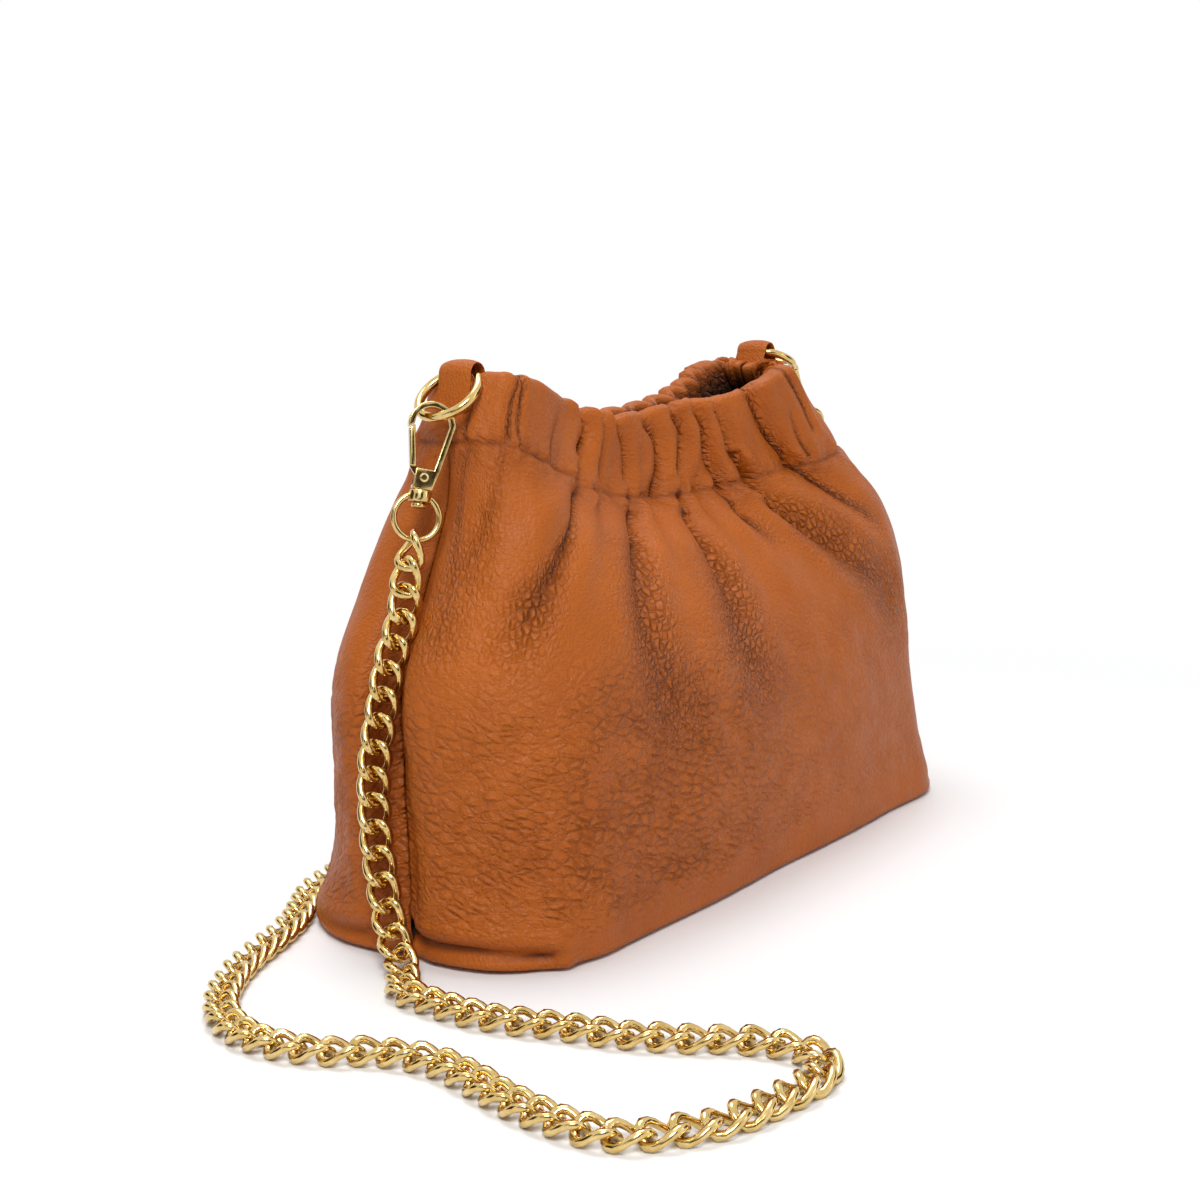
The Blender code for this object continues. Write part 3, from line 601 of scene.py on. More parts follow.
# Height as a share of the seam's, reach left, reach right, dip of the end, depth at the
# front's left and right corners and at the back's corners, depth in the middle, sway of
# the end seam and length of the flat end. Reaches are shares of half_length, and the
# others are shares of half_depth.
body_shares = [
    (0.000, 0.975, 0.980, 0.03, 0.82, 0.90, 0.88, 0.87, 0.00, 0.20),
    (0.045, 1.000, 1.000, 0.04, 0.88, 0.95, 0.95, 0.93, -0.03, 0.20),
    (0.120, 0.994, 0.999, 0.07, 0.88, 0.91, 0.86, 0.95, 0.02, 0.20),
    (0.200, 0.990, 0.985, 0.10, 0.88, 0.88, 0.79, 0.97, 0.06, 0.20),
    (0.370, 0.982, 0.967, 0.14, 0.87, 0.85, 0.77, 1.00, 0.11, 0.20),
    (0.550, 0.965, 0.968, 0.15, 0.81, 0.80, 0.76, 0.96, 0.12, 0.20),
    (0.720, 0.880, 0.980, 0.13, 0.68, 0.74, 0.68, 0.78, 0.08, 0.22),
    (0.860, 0.815, 0.935, 0.10, 0.55, 0.65, 0.58, 0.53, 0.03, 0.25),
    (0.940, 0.787, 0.865, 0.06, 0.45, 0.56, 0.46, 0.32, 0.01, 0.30),
    (1.000, 0.767, 0.785, 0.01, 0.37, 0.46, 0.37, 0.18, 0.00, 0.42),
]
# The same for the casing. Its first value is a share of the way from seam to rim.
casing_shares = [
    (0.330, 0.754, 0.725, 0.00, 0.34, 0.42, 0.34, 0.15, 0.00, 0.47),
    (0.660, 0.740, 0.662, 0.00, 0.32, 0.36, 0.32, 0.15, 0.00, 0.50),
]
rim_corner_shares, rim_middle_share, rim_flat_share = (0.31, 0.33, 0.31), 0.15, 0.52
bottom_seam_share = 0.90

# Points of an outline: across as a share of the reach, out as a share of the corner.
body_outline_shares = [(0.970, 0.62), (0.880, 0.90), (0.550, 1.00)]
casing_outline_shares = [(0.965, 0.79), (0.885, 0.98), (0.550, 1.00)]
outline_middle_share = 0.60

# Rise of the rim, front and back, and of the seam, from the middle's height to the ends'.
rim_rise_shares = {
    -1: [1.00, 1.00, 1.25, 1.10, 0.40, 0.00, 0.22, 0.35, 0.93, 1.00, 1.00],
    1: [1.00, 1.00, 1.10, 0.95, 0.45, 0.10, 0.55, 0.85, 0.95, 1.00, 1.00],
}
seam_rise_shares = [1.00, 1.00, 0.98, 0.85, 0.30, 0.00, 0.30, 0.70, 0.95, 1.00, 1.00]


# %% [markdown]
# ## The coarse net
#
# Each level of a panel is an outline from the left end to the right one. It is worked out
# from shares of the pouch's sizes and smoothed across. The casing turns over at the rim
# and comes down again inside as the facing.


# %% Coarse net of one panel
def smooth_row(points):
    first, last = points[0], points[-1]
    before = Vector((points[1].x, 2 * first.y - points[1].y, points[1].z))
    after = Vector((points[-2].x, 2 * last.y - points[-2].y, points[-2].z))
    ends_added = [before] + points + [after]
    row = []
    for span in range(len(points) - 1):
        for step in range(columns_per_span):
            row.append(curve_point(*ends_added[span:span + 4], step / columns_per_span))
    return row + [last.copy()]


def rim_height(side, index):
    return middle_height + rim_rise_shares[side][index] * (end_height - middle_height)


def seam_height(index):
    end = seam_heights["left" if index <= middle_point else "right"]
    return seam_heights["middle"] + seam_rise_shares[index] * (end - seam_heights["middle"])


def level_outline(side, level, heights, outline_shares):
    _, left_share, right_share, dip, *corners, middle, sway, flat = level
    left_out, right_out = [
        share * half_depth for share in (corners[:2] if side < 0 else corners[2:] * 2)
    ]
    left, right = left_share * half_length, right_share * half_length
    dip_in, middle_out = dip * half_depth, middle * half_depth
    seam_y = sway * half_depth + side * seam_gap / 2

    def end_points(reach, corner_out, sign):
        points = [(sign * (reach - dip_in), seam_y)]
        points.append((sign * (reach - dip_in * flat), seam_y + side * flat * corner_out))
        for across, out in outline_shares[:2]:
            points.append((sign * across * reach, side * out * corner_out))
        across, out = outline_shares[2]
        deep = out * corner_out + outline_middle_share * (middle_out - corner_out)
        return points + [(sign * across * reach, side * deep)]

    flat_points = end_points(left, left_out, -1) + [((right - left) / 2, side * middle_out)]
    flat_points += end_points(right, right_out, 1)[::-1]
    return [Vector((x, y, z)) for (x, y), z in zip(flat_points, heights)]


def end_across(row, column):
    near = row[1] if column == 0 else row[-2]
    way = near.y - row[column].y
    return Vector((0, way if column == 0 else -way, 0))


def offset_row(row, side, inward, lift=0.0):
    moved = []
    for c, point in enumerate(row):
        inside = 0 < c < len(row) - 1
        across = row[c + 1] - row[c - 1] if inside else end_across(row, c)
        across.z = 0
        way = (side * across.cross(Vector((0, 0, 1)))).normalized()
        moved.append(point + way * inward + Vector((0, 0, lift)))
    return moved


def panel_net(side):
    """All rows of one panel, from the seam below the bag to the foot of the facing."""
    wall = []
    for level in body_shares:
        heights = [level[0] * seam_height(i) for i in range(outline_points)]
        shares = casing_outline_shares if level is body_shares[-1] else body_outline_shares
        wall.append(smooth_row(level_outline(side, level, heights, shares)))
    foot = wall[0]
    left, right = foot[0].x * bottom_seam_share, foot[-1].x * bottom_seam_share
    seam = [
        Vector((left + (right - left) * c / (len(foot) - 1), side * seam_gap / 2, 0))
        for c in range(len(foot))
    ]
    under = [seam, [s.lerp(p, 0.5) for s, p in zip(seam, foot)]]
    rim_level = (
        1.0, (fold_width / 2 - tab_x["left"]) / half_length,
        (tab_x["right"] + fold_width / 2) / half_length,
        0.0, *rim_corner_shares, rim_middle_share, 0.0, rim_flat_share,
    )
    casing = []
    for level in casing_shares + [rim_level]:
        heights = []
        for i in range(outline_points):
            top = rim_height(side, i) - fold_width / 2
            heights.append(seam_height(i) + level[0] * (top - seam_height(i)))
        casing.append(smooth_row(level_outline(side, level, heights, casing_outline_shares)))
    turned = []
    for step in range(1, fold_steps):
        angle = math.pi * step / fold_steps
        inward = fold_width / 2 * (1 - math.cos(angle))
        turned.append(offset_row(casing[-1], side, inward, fold_width / 2 * math.sin(angle)))
    for row in reversed([wall[-1]] + casing):
        turned.append(offset_row(row, side, fold_width))
    return np.array([[list(p) for p in row] for row in under + wall + casing + turned])


nets = {"front": panel_net(-1), "back": panel_net(1)}
print("net", nets["front"].shape)

# %% [markdown]
# ## From the coarse net to the fine net
#
# The fine net has a row or column about every millimetre, closer together at the gathered
# mouth, where the folds are small. Each fine point lies on the smooth curve through four
# coarse ones, first across and then upwards.

# %% Fine net
rows_per_span = [4, 4, 5, 8, 8, 15, 16, 16, 14, 9, 8, 10, 10, 10, 2, 2, 2, 2, 7, 7, 7]
seam_row_number, rim_row_number, facing_row_number = 11, 14, 18


def spread(counts):
    return np.concatenate([i + np.arange(n) / n for i, n in enumerate(counts)] + [[len(counts)]])


def curve_through(net, places):
    """Reads the net's first axis at the places given, on smooth curves."""
    low = np.clip(np.floor(places).astype(int), 0, len(net) - 2)
    t = (places - low).reshape(-1, *[1] * (net.ndim - 1))
    ends = np.concatenate([2 * net[:1] - net[1:2], net, 2 * net[-1:] - net[-2:-1]])
    a, b, c, d = ends[low], ends[low + 1], ends[low + 2], ends[low + 3]
    return 0.5 * (
        2 * b + (c - a) * t + (2 * a - 5 * b + 4 * c - d) * t ** 2
        + (3 * b - a - 3 * c + d) * t ** 3
    )


column_places = spread([count for count in (3, 7, 6, 12, 20, 20, 12, 6, 7, 3) for _ in range(3)])
row_places = spread(rows_per_span)
print("fine net", len(row_places), "x", len(column_places))

# %% [markdown]
# ## Folds, pleats and creases
#
# Leather that is gathered cannot shrink, so it folds. Each fold is written as a line of
# points on the panel, in millimetres, with a depth and a width at its start and its end.
# The line is pressed in, and the leather beside it stands up by a third as much, because
# the length has to go somewhere. The pleats run from the rim to the gathered seam, and
# the largest ones run on below it and fan out over the wall.

# %% The folds of the front, in millimetres
front_folds = [
    # points, depth at start and end, half-width at start and end
    ([(-84.4, -15.7, 160.3), (-88.0, -15.8, 155.4), (-91.2, -16.5, 148.6), (-92.6, -17.3, 144.5)],
     0.7, 1.0, 1.0, 1.2),
    ([(-83.2, -16.2, 159.6), (-85.5, -16.7, 154.7), (-88.3, -17.4, 148.4), (-89.9, -18.7, 143.1)],
     0.9, 0.7, 1.0, 1.0),
    ([(-47.6, -11.2, 149.4), (-46.7, -11.4, 143.9), (-51.2, -12.1, 138.2), (-58.4, -14.7, 131.4)],
     3.8, 4.8, 2.2, 2.9),
    ([(-36.4, -9.8, 147.5), (-37.8, -10.4, 137.1), (-42.7, -12.2, 126.8)], 2.1, 1.8, 1.6, 1.7),
    ([(-26.4, -9.2, 145.6), (-23.2, -9.0, 139.1), (-22.7, -9.1, 129.6), (-28.7, -12.4, 120.8)],
     3.0, 3.7, 2.0, 2.2),
    ([(-8.9, -8.4, 143.1), (-4.6, -8.3, 137.7), (-4.0, -8.4, 127.9), (-10.7, -10.9, 119.6)],
     2.6, 3.2, 1.9, 2.0),
    ([(6.6, -8.6, 143.3), (9.7, -8.7, 138.2), (8.0, -8.8, 128.5), (1.6, -10.9, 118.6)],
     3.0, 4.0, 1.9, 2.2),
    ([(16.6, -9.2, 143.3), (21.8, -9.7, 137.3), (23.4, -10.0, 128.8), (26.7, -12.4, 119.5)],
     3.4, 3.7, 2.0, 2.3),
    ([(28.2, -10.3, 143.9), (34.0, -11.1, 134.7), (36.5, -12.1, 126.1), (38.5, -13.9, 120.1)],
     3.8, 4.8, 2.2, 2.6),
    ([(46.6, -13.1, 147.5), (51.9, -14.5, 138.6), (58.0, -16.7, 131.2), (61.4, -18.2, 125.0)],
     4.6, 4.0, 2.3, 2.4),
    ([(62.0, -17.0, 150.5), (67.1, -18.0, 146.0), (73.2, -19.2, 141.0), (76.8, -21.1, 135.0)],
     1.2, 0.9, 1.4, 1.4),
    ([(65.0, -18.9, 137.9), (68.4, -20.8, 131.4), (71.6, -22.2, 126.7)], 0.4, 1.2, 1.2, 1.4),
    ([(-65.0, -15.3, 148.2), (-72.9, -18.0, 143.0), (-76.6, -19.5, 137.8)], 0.3, 0.9, 1.2, 1.2),
    ([(-92.5, -7.0, 160.5), (-93.4, -6.8, 157.1), (-96.4, -6.2, 150.3), (-98.2, -6.0, 144.8)],
     0.9, 0.7, 1.3, 1.3),
    # the fan below the seam
    ([(-59.2, -15.3, 130.0), (-74.6, -26.3, 122.0), (-87.8, -31.1, 113.3), (-96.7, -32.5, 106.0),
      (-105.1, -32.1, 97.5), (-112.2, -30.9, 88.8)], 4.4, 0.5, 2.0, 4.6),
    ([(-29.4, -14.0, 119.4), (-43.1, -25.8, 110.7), (-55.0, -34.9, 100.7), (-62.7, -42.1, 88.8),
      (-64.6, -47.4, 76.0), (-64.0, -50.8, 65.9)], 5.2, 1.0, 2.2, 7.5),
    ([(1.2, -12.0, 117.7), (-4.3, -22.4, 108.9), (-8.1, -32.0, 100.1), (-13.2, -40.4, 90.1),
      (-16.7, -46.5, 80.0), (-19.5, -51.5, 69.8)], 5.0, 1.2, 2.2, 7.5),
    ([(40.0, -13.8, 120.6), (43.2, -20.9, 113.6), (51.3, -29.8, 106.2), (62.0, -37.4, 96.5),
      (73.4, -43.0, 86.5), (83.8, -45.4, 77.4)], 5.6, 1.4, 2.6, 8.5),
    ([(61.8, -18.4, 124.3), (68.5, -22.6, 119.9), (74.8, -27.0, 115.2), (82.6, -32.7, 109.2),
      (92.3, -37.5, 101.1)], 2.5, 0.6, 1.8, 3.8),
    ([(22.0, -13.0, 118.6), (25.0, -22.0, 111.0), (29.0, -31.0, 103.0)], 2.6, 0.4, 1.8, 4.0),
    ([(-98.4, -8.2, 143.4), (-100.3, -6.3, 133.7), (-105.1, -7.9, 120.1), (-111.1, -9.9, 106.8),
      (-118.5, -10.7, 91.2)], 0.4, 0.6, 2.0, 4.6),
    ([(-96.0, -18.6, 140.2), (-102.3, -17.4, 124.3), (-110.1, -14.8, 108.3)], 0.3, 0.5, 2.6, 4.6),
    # ridges that stand up between them
    ([(-44.0, -14.0, 126.0), (-56.0, -27.0, 115.0), (-70.0, -37.0, 103.0), (-80.0, -43.0, 90.0)],
     -2.2, -0.8, 4.5, 9.0),
    ([(-12.0, -12.0, 117.5), (-20.0, -24.0, 108.0), (-29.0, -34.0, 98.0), (-36.0, -43.0, 86.0)],
     -2.2, -0.8, 4.0, 9.0),
    ([(20.0, -13.0, 119.0), (18.0, -22.0, 111.0), (20.0, -33.0, 100.0), (24.0, -43.0, 86.0)],
     -2.4, -1.0, 4.0, 9.0),
    ([(52.0, -16.0, 123.5), (58.0, -24.0, 116.0), (68.0, -32.0, 107.0), (80.0, -38.0, 97.0)],
     -2.4, -0.8, 4.0, 8.0),
    ([(-84.0, -20.0, 140.0), (-92.0, -24.0, 124.0), (-100.0, -27.0, 108.0)], -1.0, -0.5, 6.0, 10.0),
    # the wall stands out over the boxed corner
    ([(-126.0, -12.0, 15.0), (-124.0, -30.0, 15.0), (-114.0, -42.0, 15.0), (-100.0, -49.0, 13.0)],
     -2.4, -1.6, 8.0, 8.0),
    ([(-111.5, -43.0, 2.0), (-111.0, -44.0, 10.0), (-110.0, -45.0, 24.0)], -1.7, -0.5, 4.5, 9.0),
    # the crease that ends the boxed corner
    ([(-125.4, -0.4, 9.5), (-126.9, -4.6, 6.6), (-127.7, -10.1, 6.3), (-127.0, -23.1, 6.4),
      (-121.4, -34.4, 5.4), (-114.0, -41.0, 4.2)], 3.4, 2.6, 1.6, 1.6),
    ([(125.4, -0.4, 8.5), (127.4, -8.0, 6.3), (126.6, -23.1, 6.2), (119.4, -36.4, 4.9)],
     3.2, 2.0, 1.9, 1.9),
]
back_folds = [
    ([(-68, 15, 153), (-70, 16, 146), (-73, 18, 138)], 1.1, 1.6, 1.4, 1.5),
    ([(-52, 12, 149), (-53, 12, 141), (-57, 14, 131)], 3.2, 3.8, 2.0, 2.4),
    ([(-40, 10, 146), (-40, 10, 138), (-42, 12, 127)], 2.4, 2.8, 1.8, 1.9),
    ([(-28, 9, 145), (-28, 9, 134), (-30, 12, 121)], 3.2, 3.4, 2.0, 2.3),
    ([(-15, 9, 145), (-14, 9, 134), (-17, 11, 120)], 2.4, 2.6, 1.8, 2.0),
    ([(-2, 9, 146), (-1, 9, 134), (-1, 11, 119)], 2.9, 3.4, 2.0, 2.3),
    ([(12, 9, 147), (12, 9, 134), (14, 11, 119)], 2.6, 3.1, 1.9, 2.0),
    ([(24, 10, 149), (25, 10, 136), (28, 12, 120)], 3.2, 3.8, 2.0, 2.3),
    ([(34, 11, 151), (36, 12, 138), (41, 14, 121)], 2.5, 2.8, 1.7, 1.9),
    ([(42, 12, 153), (44, 13, 140), (50, 15, 124)], 2.9, 3.4, 1.8, 2.2),
    ([(49, 14, 155), (52, 15, 142), (58, 17, 126)], 2.6, 2.9, 1.7, 1.9),
    ([(57, 15, 156), (60, 16, 143), (66, 19, 127)], 2.5, 2.5, 1.7, 1.8),
    ([(64, 15, 157), (67, 16, 145), (73, 20, 128)], 1.4, 1.4, 1.3, 1.4),
    ([(-57, 14, 130), (-70, 25, 118), (-82, 33, 106), (-92, 38, 92)], 3.8, 0.4, 2.2, 6.5),
    ([(-30, 12, 120), (-36, 24, 110), (-42, 35, 98), (-46, 45, 80)], 4.6, 0.4, 2.2, 7.5),
    ([(-1, 11, 118), (0, 22, 109), (2, 34, 98), (5, 46, 80), (7, 51, 66)], 4.3, 0.4, 2.2, 7.5),
    ([(28, 12, 119), (33, 22, 111), (40, 33, 99), (48, 42, 84)], 4.6, 0.4, 2.2, 7.0),
    ([(58, 17, 125), (68, 24, 116), (79, 30, 105), (90, 34, 92)], 3.8, 0.4, 2.0, 6.0),
    ([(-125.4, 6.0, 8.0), (-127.0, 14.3, 5.6), (-126.0, 24.3, 5.4), (-119.0, 36.0, 4.6)],
     3.6, 0.3, 1.6, 1.6),
    ([(125.4, 4.0, 8.0), (127.0, 14.3, 5.8), (126.0, 24.3, 5.4), (119.0, 38.0, 4.6)],
     3.2, 0.3, 1.6, 1.6),
]


# %% [markdown]
# ## Pressing one fold
#
# The fold's line is first moved on to the surface. Each point of the net then finds the
# nearest place on the line, and how far off it is there, counted in half-widths of the
# fold. A narrow fold is a sharp valley with raised sides and a lip that leans over it. A
# broad one is a soft hollow. A negative depth makes a ridge.


# %% Press one fold into the net
narrow, wide = 0.0026, 0.0050  # half-widths of a sharp valley and of a soft hollow
full_crease, full_squeeze, crease_width = 0.0015, 0.0012, 0.0007
lean_share = 0.45


def smooth_step(value, low, high):
    """Rises softly from 0 at `low` to 1 at `high`."""
    t = np.clip((value - low) / (high - low), 0, 1)
    return t * t * (3 - 2 * t)


def hump(value, middle, width, power=2):
    """A bell: 1 at its middle, and close to 0 from two widths away."""
    return np.exp(-(abs(value - middle) / width) ** power)


def unit(vectors):
    return vectors / np.maximum(np.linalg.norm(vectors, axis=-1, keepdims=True), 1e-12)


def line_on_surface(line, points, ways):
    """A smooth line through the fold's points, moved on to the outer face."""
    line = curve_through(np.array(line) / 1000, np.linspace(0, len(line) - 1, len(line) * 4 - 3))
    outer = points[row_places <= rim_row_number]
    for number, place in enumerate(line):
        nearest = np.unravel_index(np.argmin(np.linalg.norm(outer - place, axis=-1)), outer.shape[:2])
        line[number] = place + ways[nearest] * ((points[nearest] - place) @ ways[nearest])
    return line


def nearest_on_line(points, line):
    """Gap to the line, share of the line passed there, and which side the point is on."""
    pieces = np.linalg.norm(np.diff(line, axis=0), axis=1)
    across = unit(np.gradient(points, axis=1))
    gap, place, beyond = np.ones(points.shape[:-1]), *np.zeros((2, *points.shape[:-1]))
    done = 0.0
    for start, end, piece in zip(line, line[1:], pieces):
        way = (end - start) / piece
        along = np.clip((points - start) @ way, 0, piece)
        off = points - start - along[..., None] * way
        off_length = np.linalg.norm(off, axis=-1)
        nearer = off_length < gap
        gap = np.where(nearer, off_length, gap)
        beyond = np.where(nearer, (off * across).sum(-1), beyond)
        place = np.where(nearer, (done + along) / pieces.sum(), place)
        done += piece
    return gap, place, beyond


def fold_depth(points, ways, fold):
    """How far a fold presses each point in, its painted crease shade, squeeze and lip lean."""
    line, depth_start, depth_end, width_start, width_end = fold
    gap, place, beyond = nearest_on_line(points, line_on_surface(line, points, ways))
    width = (width_start + (width_end - width_start) * place) / 1000
    depth = (depth_start + (depth_end - depth_start) * place) / 1000
    reach = gap / width
    if depth_start < 0:
        return depth * hump(reach, 0, 1), reach * 0, reach * 0, reach * 0
    broad = smooth_step(width, narrow, wide)
    valley = np.exp(-reach ** (1.1 + 0.4 * broad))
    puff = (0.50 - 0.15 * broad) * hump(reach, 2.7 - 0.6 * broad, 1.5 - 0.5 * broad)
    strong = np.clip(depth / full_crease, 0, 1) * (1 - 0.85 * broad)
    # Painted shade: a deep, narrow fold darkens the leather along its crease.
    near = hump(gap, 0, crease_width + 0.18 * broad * width, 1.5) * strong
    beside = hump(reach, 0, 0.7 + 1.3 * broad) * np.clip(depth / full_squeeze, 0, 1)
    lip = hump(beyond, -0.9 * width, 0.9 * width) * (reach < 4) * (depth > full_crease)
    return depth * (valley - puff), near, beside, lean_share * (1 - 0.6 * broad) * depth * lip


# %% [markdown]
# ## What else shapes the leather
#
# The gathered seam draws in a line of small puckers. The two end seams sit in a soft
# hollow. And everywhere the hide is a little uneven, more so where it is slack. Each of
# these helpers says how far the points go in; the seams also say where shade is painted,
# and the slack says where the grain shows.


# %% Seams, folds and slack
wrinkle_slope, wrinkle_stretch, wrinkle_width = 0.30, 3.2, 0.13
lumps = [(0.0009, 0.040, 1), (0.0004, 0.016, 2), (0.00016, 0.006, 4)]  # depth, size, seed
wrinkles = [(0.00050, 0.0085, 6), (0.00028, 0.0050, 9)]
seam_depth, seam_width, pucker_reach = 0.0010, 0.0012, 0.0050
small_pucker, large_pucker = 0.00060, 0.0011
stitch_width, end_stitch_width = 0.0007, 0.0010
end_groove, low_end_groove, low_end_swell = 0.0004, 0.0006, 0.0016
end_width, low_end_width = 0.0018, 0.0062
swell_place, swell_width = 0.0150, 0.007
slack_place, slack_width = -0.070, 0.065
snap_place, snap_width, snap_hold = 0.001, 0.010, 0.95


def row_at(place):
    """The fine row nearest to a place between the coarse rows."""
    return int(np.argmin(abs(row_places - place)))


def surface_ways(points, side):
    """Outward direction at every point of a net."""
    out = np.cross(np.gradient(points, axis=1), np.gradient(points, axis=0))
    return unit(out * (1 if side < 0 else -1))


def wander(points, size, seed):
    """Smooth noise with lumps of the size given."""
    shift = Vector((seed * 7.3, seed * 3.1, seed * 5.7))
    values = [noise.noise(Vector(p) + shift) for p in points.reshape(-1, 3) / size]
    return np.array(values).reshape(points.shape[:-1])


def press_folds(net, ways, folds):
    """Depth, lean, painted crease shade and squeeze of all the folds together."""
    press, lean, crease, squeeze = np.zeros((4, *net.shape[:2]))
    above_floor = smooth_step(net[..., 2], 0.012, 0.030)
    for fold in folds:
        depth, near, beside, lip = fold_depth(net, ways, fold)
        press += depth
        lean += lip
        crease = np.maximum(crease, near)
        squeeze = np.maximum(squeeze, beside * above_floor)
    return press, lean, crease, squeeze


def press_seams(net, run, from_seam, from_end, side):
    """Depth of the casing's puckered seam and of the two end seams, and their painted shade."""
    small, large = [
        wander(np.stack([run, run * 0 + side, from_seam * share], -1), size, seed)
        for share, size, seed in ((0.25, 0.0024, 3), (0.3, 0.0060, 5))
    ]
    band = hump(from_seam, 0, pucker_reach)
    press = seam_depth * hump(from_seam, 0, seam_width)
    press += band * (small_pucker * small + large_pucker * large)
    # Painted shade along the gathered seam's stitch line and puckers, and along the end seams.
    crease = (0.5 + 0.4 * large) * hump(from_seam, 0, stitch_width)
    crease = np.maximum(crease, 0.35 * band * np.clip(small * 2.5, 0, 1))
    z = net[..., 2]
    low_part = smooth_step(z, 0.004, 0.02) * (1 - smooth_step(z, 0.075, 0.115))
    groove = end_groove + low_end_groove * low_part
    press += groove * hump(from_end, 0, end_width + low_end_width * low_part)
    press -= low_end_swell * low_part * hump(from_end, swell_place, swell_width)
    return press, np.maximum(crease, 0.25 * hump(from_end, 0, end_stitch_width))


def press_slack(net, run, height, side):
    """Depth of the uneven hide and its wrinkles, and how slack it is."""
    press = sum(depth * wander(net, size, seed) for depth, size, seed in lumps)
    z = net[..., 2]
    slack = smooth_step(z, 0.004, 0.018) * (1 - smooth_step(z, 0.060, 0.095))
    slack = slack * (0.25 + 0.75 * hump(net[..., 0], slack_place, slack_width))
    along = (run - wrinkle_slope * height) / wrinkle_stretch
    lie = np.stack([along, height + wrinkle_slope * run, height * 0 + side], -1)
    for depth, size, seed in wrinkles:
        press += slack * depth * hump(wander(lie, size, seed), 0, wrinkle_width)
    return press, slack


def turn_over(net, side, move, crease, squeeze):
    """Moves each row past the rim as the row of the casing that it lies against."""
    for r in np.flatnonzero(row_places > rim_row_number + 1e-6):
        source = rim_row_number
        if row_places[r] > facing_row_number:
            source = rim_row_number + facing_row_number - row_places[r]
        upper = np.searchsorted(row_places, source)
        lower = max(upper - 1, 0)
        share = (source - row_places[lower]) / max(row_places[upper] - row_places[lower], 1e-9)
        # The painted crease shade and the squeeze follow the rows on to the facing, a little weaker.
        for layer, part in ((move, 1.0), (crease, 0.7), (squeeze, 0.7)):
            layer[r] = part * (layer[lower] * (1 - share) + layer[upper] * share)
        if row_places[r] > rim_row_number + 2:
            near_snap = hump(net[r, :, 0], snap_place, snap_width, 4)
            inward = move[r] @ np.array([0, -side, 0]) > 0
            move[r] *= (1 - snap_hold * near_snap * inward)[:, None]


# %% [markdown]
# ## Shaping a panel
#
# Everything is added up and moved along the surface's outward directions. The casing is
# moved as one, outer face and facing together, so its two faces never meet. The rim is
# lifted to its real line, and at the right end it rolls outward.

# %% Shape a panel
facing_gap, end_hold = 0.0006, 0.0050
rolls = [(0.0034, 0.040, 0.066), (0.0062, 0.062, 0.076)]  # depth, from, to
rim_places = {  # along and up, in millimetres
    "front": [(-96, 161.0), (-91, 163.6), (-87, 163.2), (-76, 160.6), (-65, 157.0), (-51, 151.8),
              (-37, 149.2), (-23, 147.0), (-9, 147.6), (6, 148.6), (14, 149.6), (25, 149.0),
              (37, 149.8), (48, 152.0), (56, 154.5), (66, 158.0), (78, 160.0)],
    "back": [(-96, 160.0), (-80, 160.0), (-60, 154.0), (-40, 149.5), (-20, 147.6), (0, 148.4),
             (20, 150.6), (37, 154.0), (46, 157.5), (56, 159.6), (66, 160.6), (78, 160.0)],
}
panels = {"front": (-1, front_folds), "back": (1, back_folds)}


def shape_panel(word):
    side, folds = panels[word]
    net = curve_through(nets[word], row_places)
    net = np.swapaxes(curve_through(np.swapaxes(net, 0, 1), column_places), 0, 1)
    run, height = np.zeros((2, *net.shape[:2]))
    run[:, 1:] = np.cumsum(np.linalg.norm(np.diff(net, axis=1), axis=-1), axis=1)
    height[1:] = np.cumsum(np.linalg.norm(np.diff(net, axis=0), axis=-1), axis=0)
    height -= height[row_at(2)].copy()
    from_end = np.minimum(run, run[:, -1:] - run)
    from_seam = height - height[row_at(seam_row_number)]
    rows = row_places[:, None] * np.ones((1, len(column_places)))

    ways = surface_ways(net, side)
    press, lean, crease, squeeze = press_folds(net, ways, folds)
    seam_press, seam_crease = press_seams(net, run, from_seam, from_end, side)
    slack_press, slack = press_slack(net, run, height, side)
    # crease holds the painted shade of the folds and the seams.
    crease = np.maximum(crease, seam_crease)
    press = (press + seam_press + slack_press) * smooth_step(net[..., 2], 0.0001, 0.0030)

    level = unit(ways * [1, 1, 0])
    level[row_at(rim_row_number - 1):] = level[row_at(rim_row_number - 1)]
    to_level = smooth_step(rows, seam_row_number - 1.5, seam_row_number)[..., None]
    ways = ways * (1 - to_level) + level * to_level
    move = lean[..., None] * unit(np.gradient(net, axis=1)) - press[..., None] * ways
    dip = smooth_step(rows, seam_row_number + 1, rim_row_number)
    move[..., 2] -= 0.50 * np.clip(press, -0.001, 0.003) * dip
    top = net[row_at(rim_row_number + 2)]
    move[..., 2] += (np.interp(top[:, 0], *np.array(rim_places[word]).T / 1000) - top[:, 2]) * dip
    turn_over(net, side, move, crease, squeeze)

    roll = sum(deep * smooth_step(net[..., 0], low, high) for deep, low, high in rolls)
    roll *= hump(rows, facing_row_number, 3.2)
    roll *= smooth_step(rows, rim_row_number - 0.5, rim_row_number + 1.5)
    move -= level * roll[..., None]
    move[..., 1] *= smooth_step(from_end, 0.0, end_hold)
    shaped = net + move
    shaped[..., 2] = np.maximum(shaped[..., 2], 0)
    inner = row_places > rim_row_number + 2
    shaped[inner, :, 1] = side * np.maximum(side * shaped[inner, :, 1], facing_gap)
    return {
        "points": shaped, "ways": surface_ways(net, side), "crease": crease, "squeeze": squeeze,
        "run": run, "height": height, "slack": np.maximum(slack, 0.30 * hump(from_seam, 0, 0.008)),
    }


shapes = {word: shape_panel(word) for word in ("front", "back")}
print("pressed", {word: shape["points"].shape for word, shape in shapes.items()})
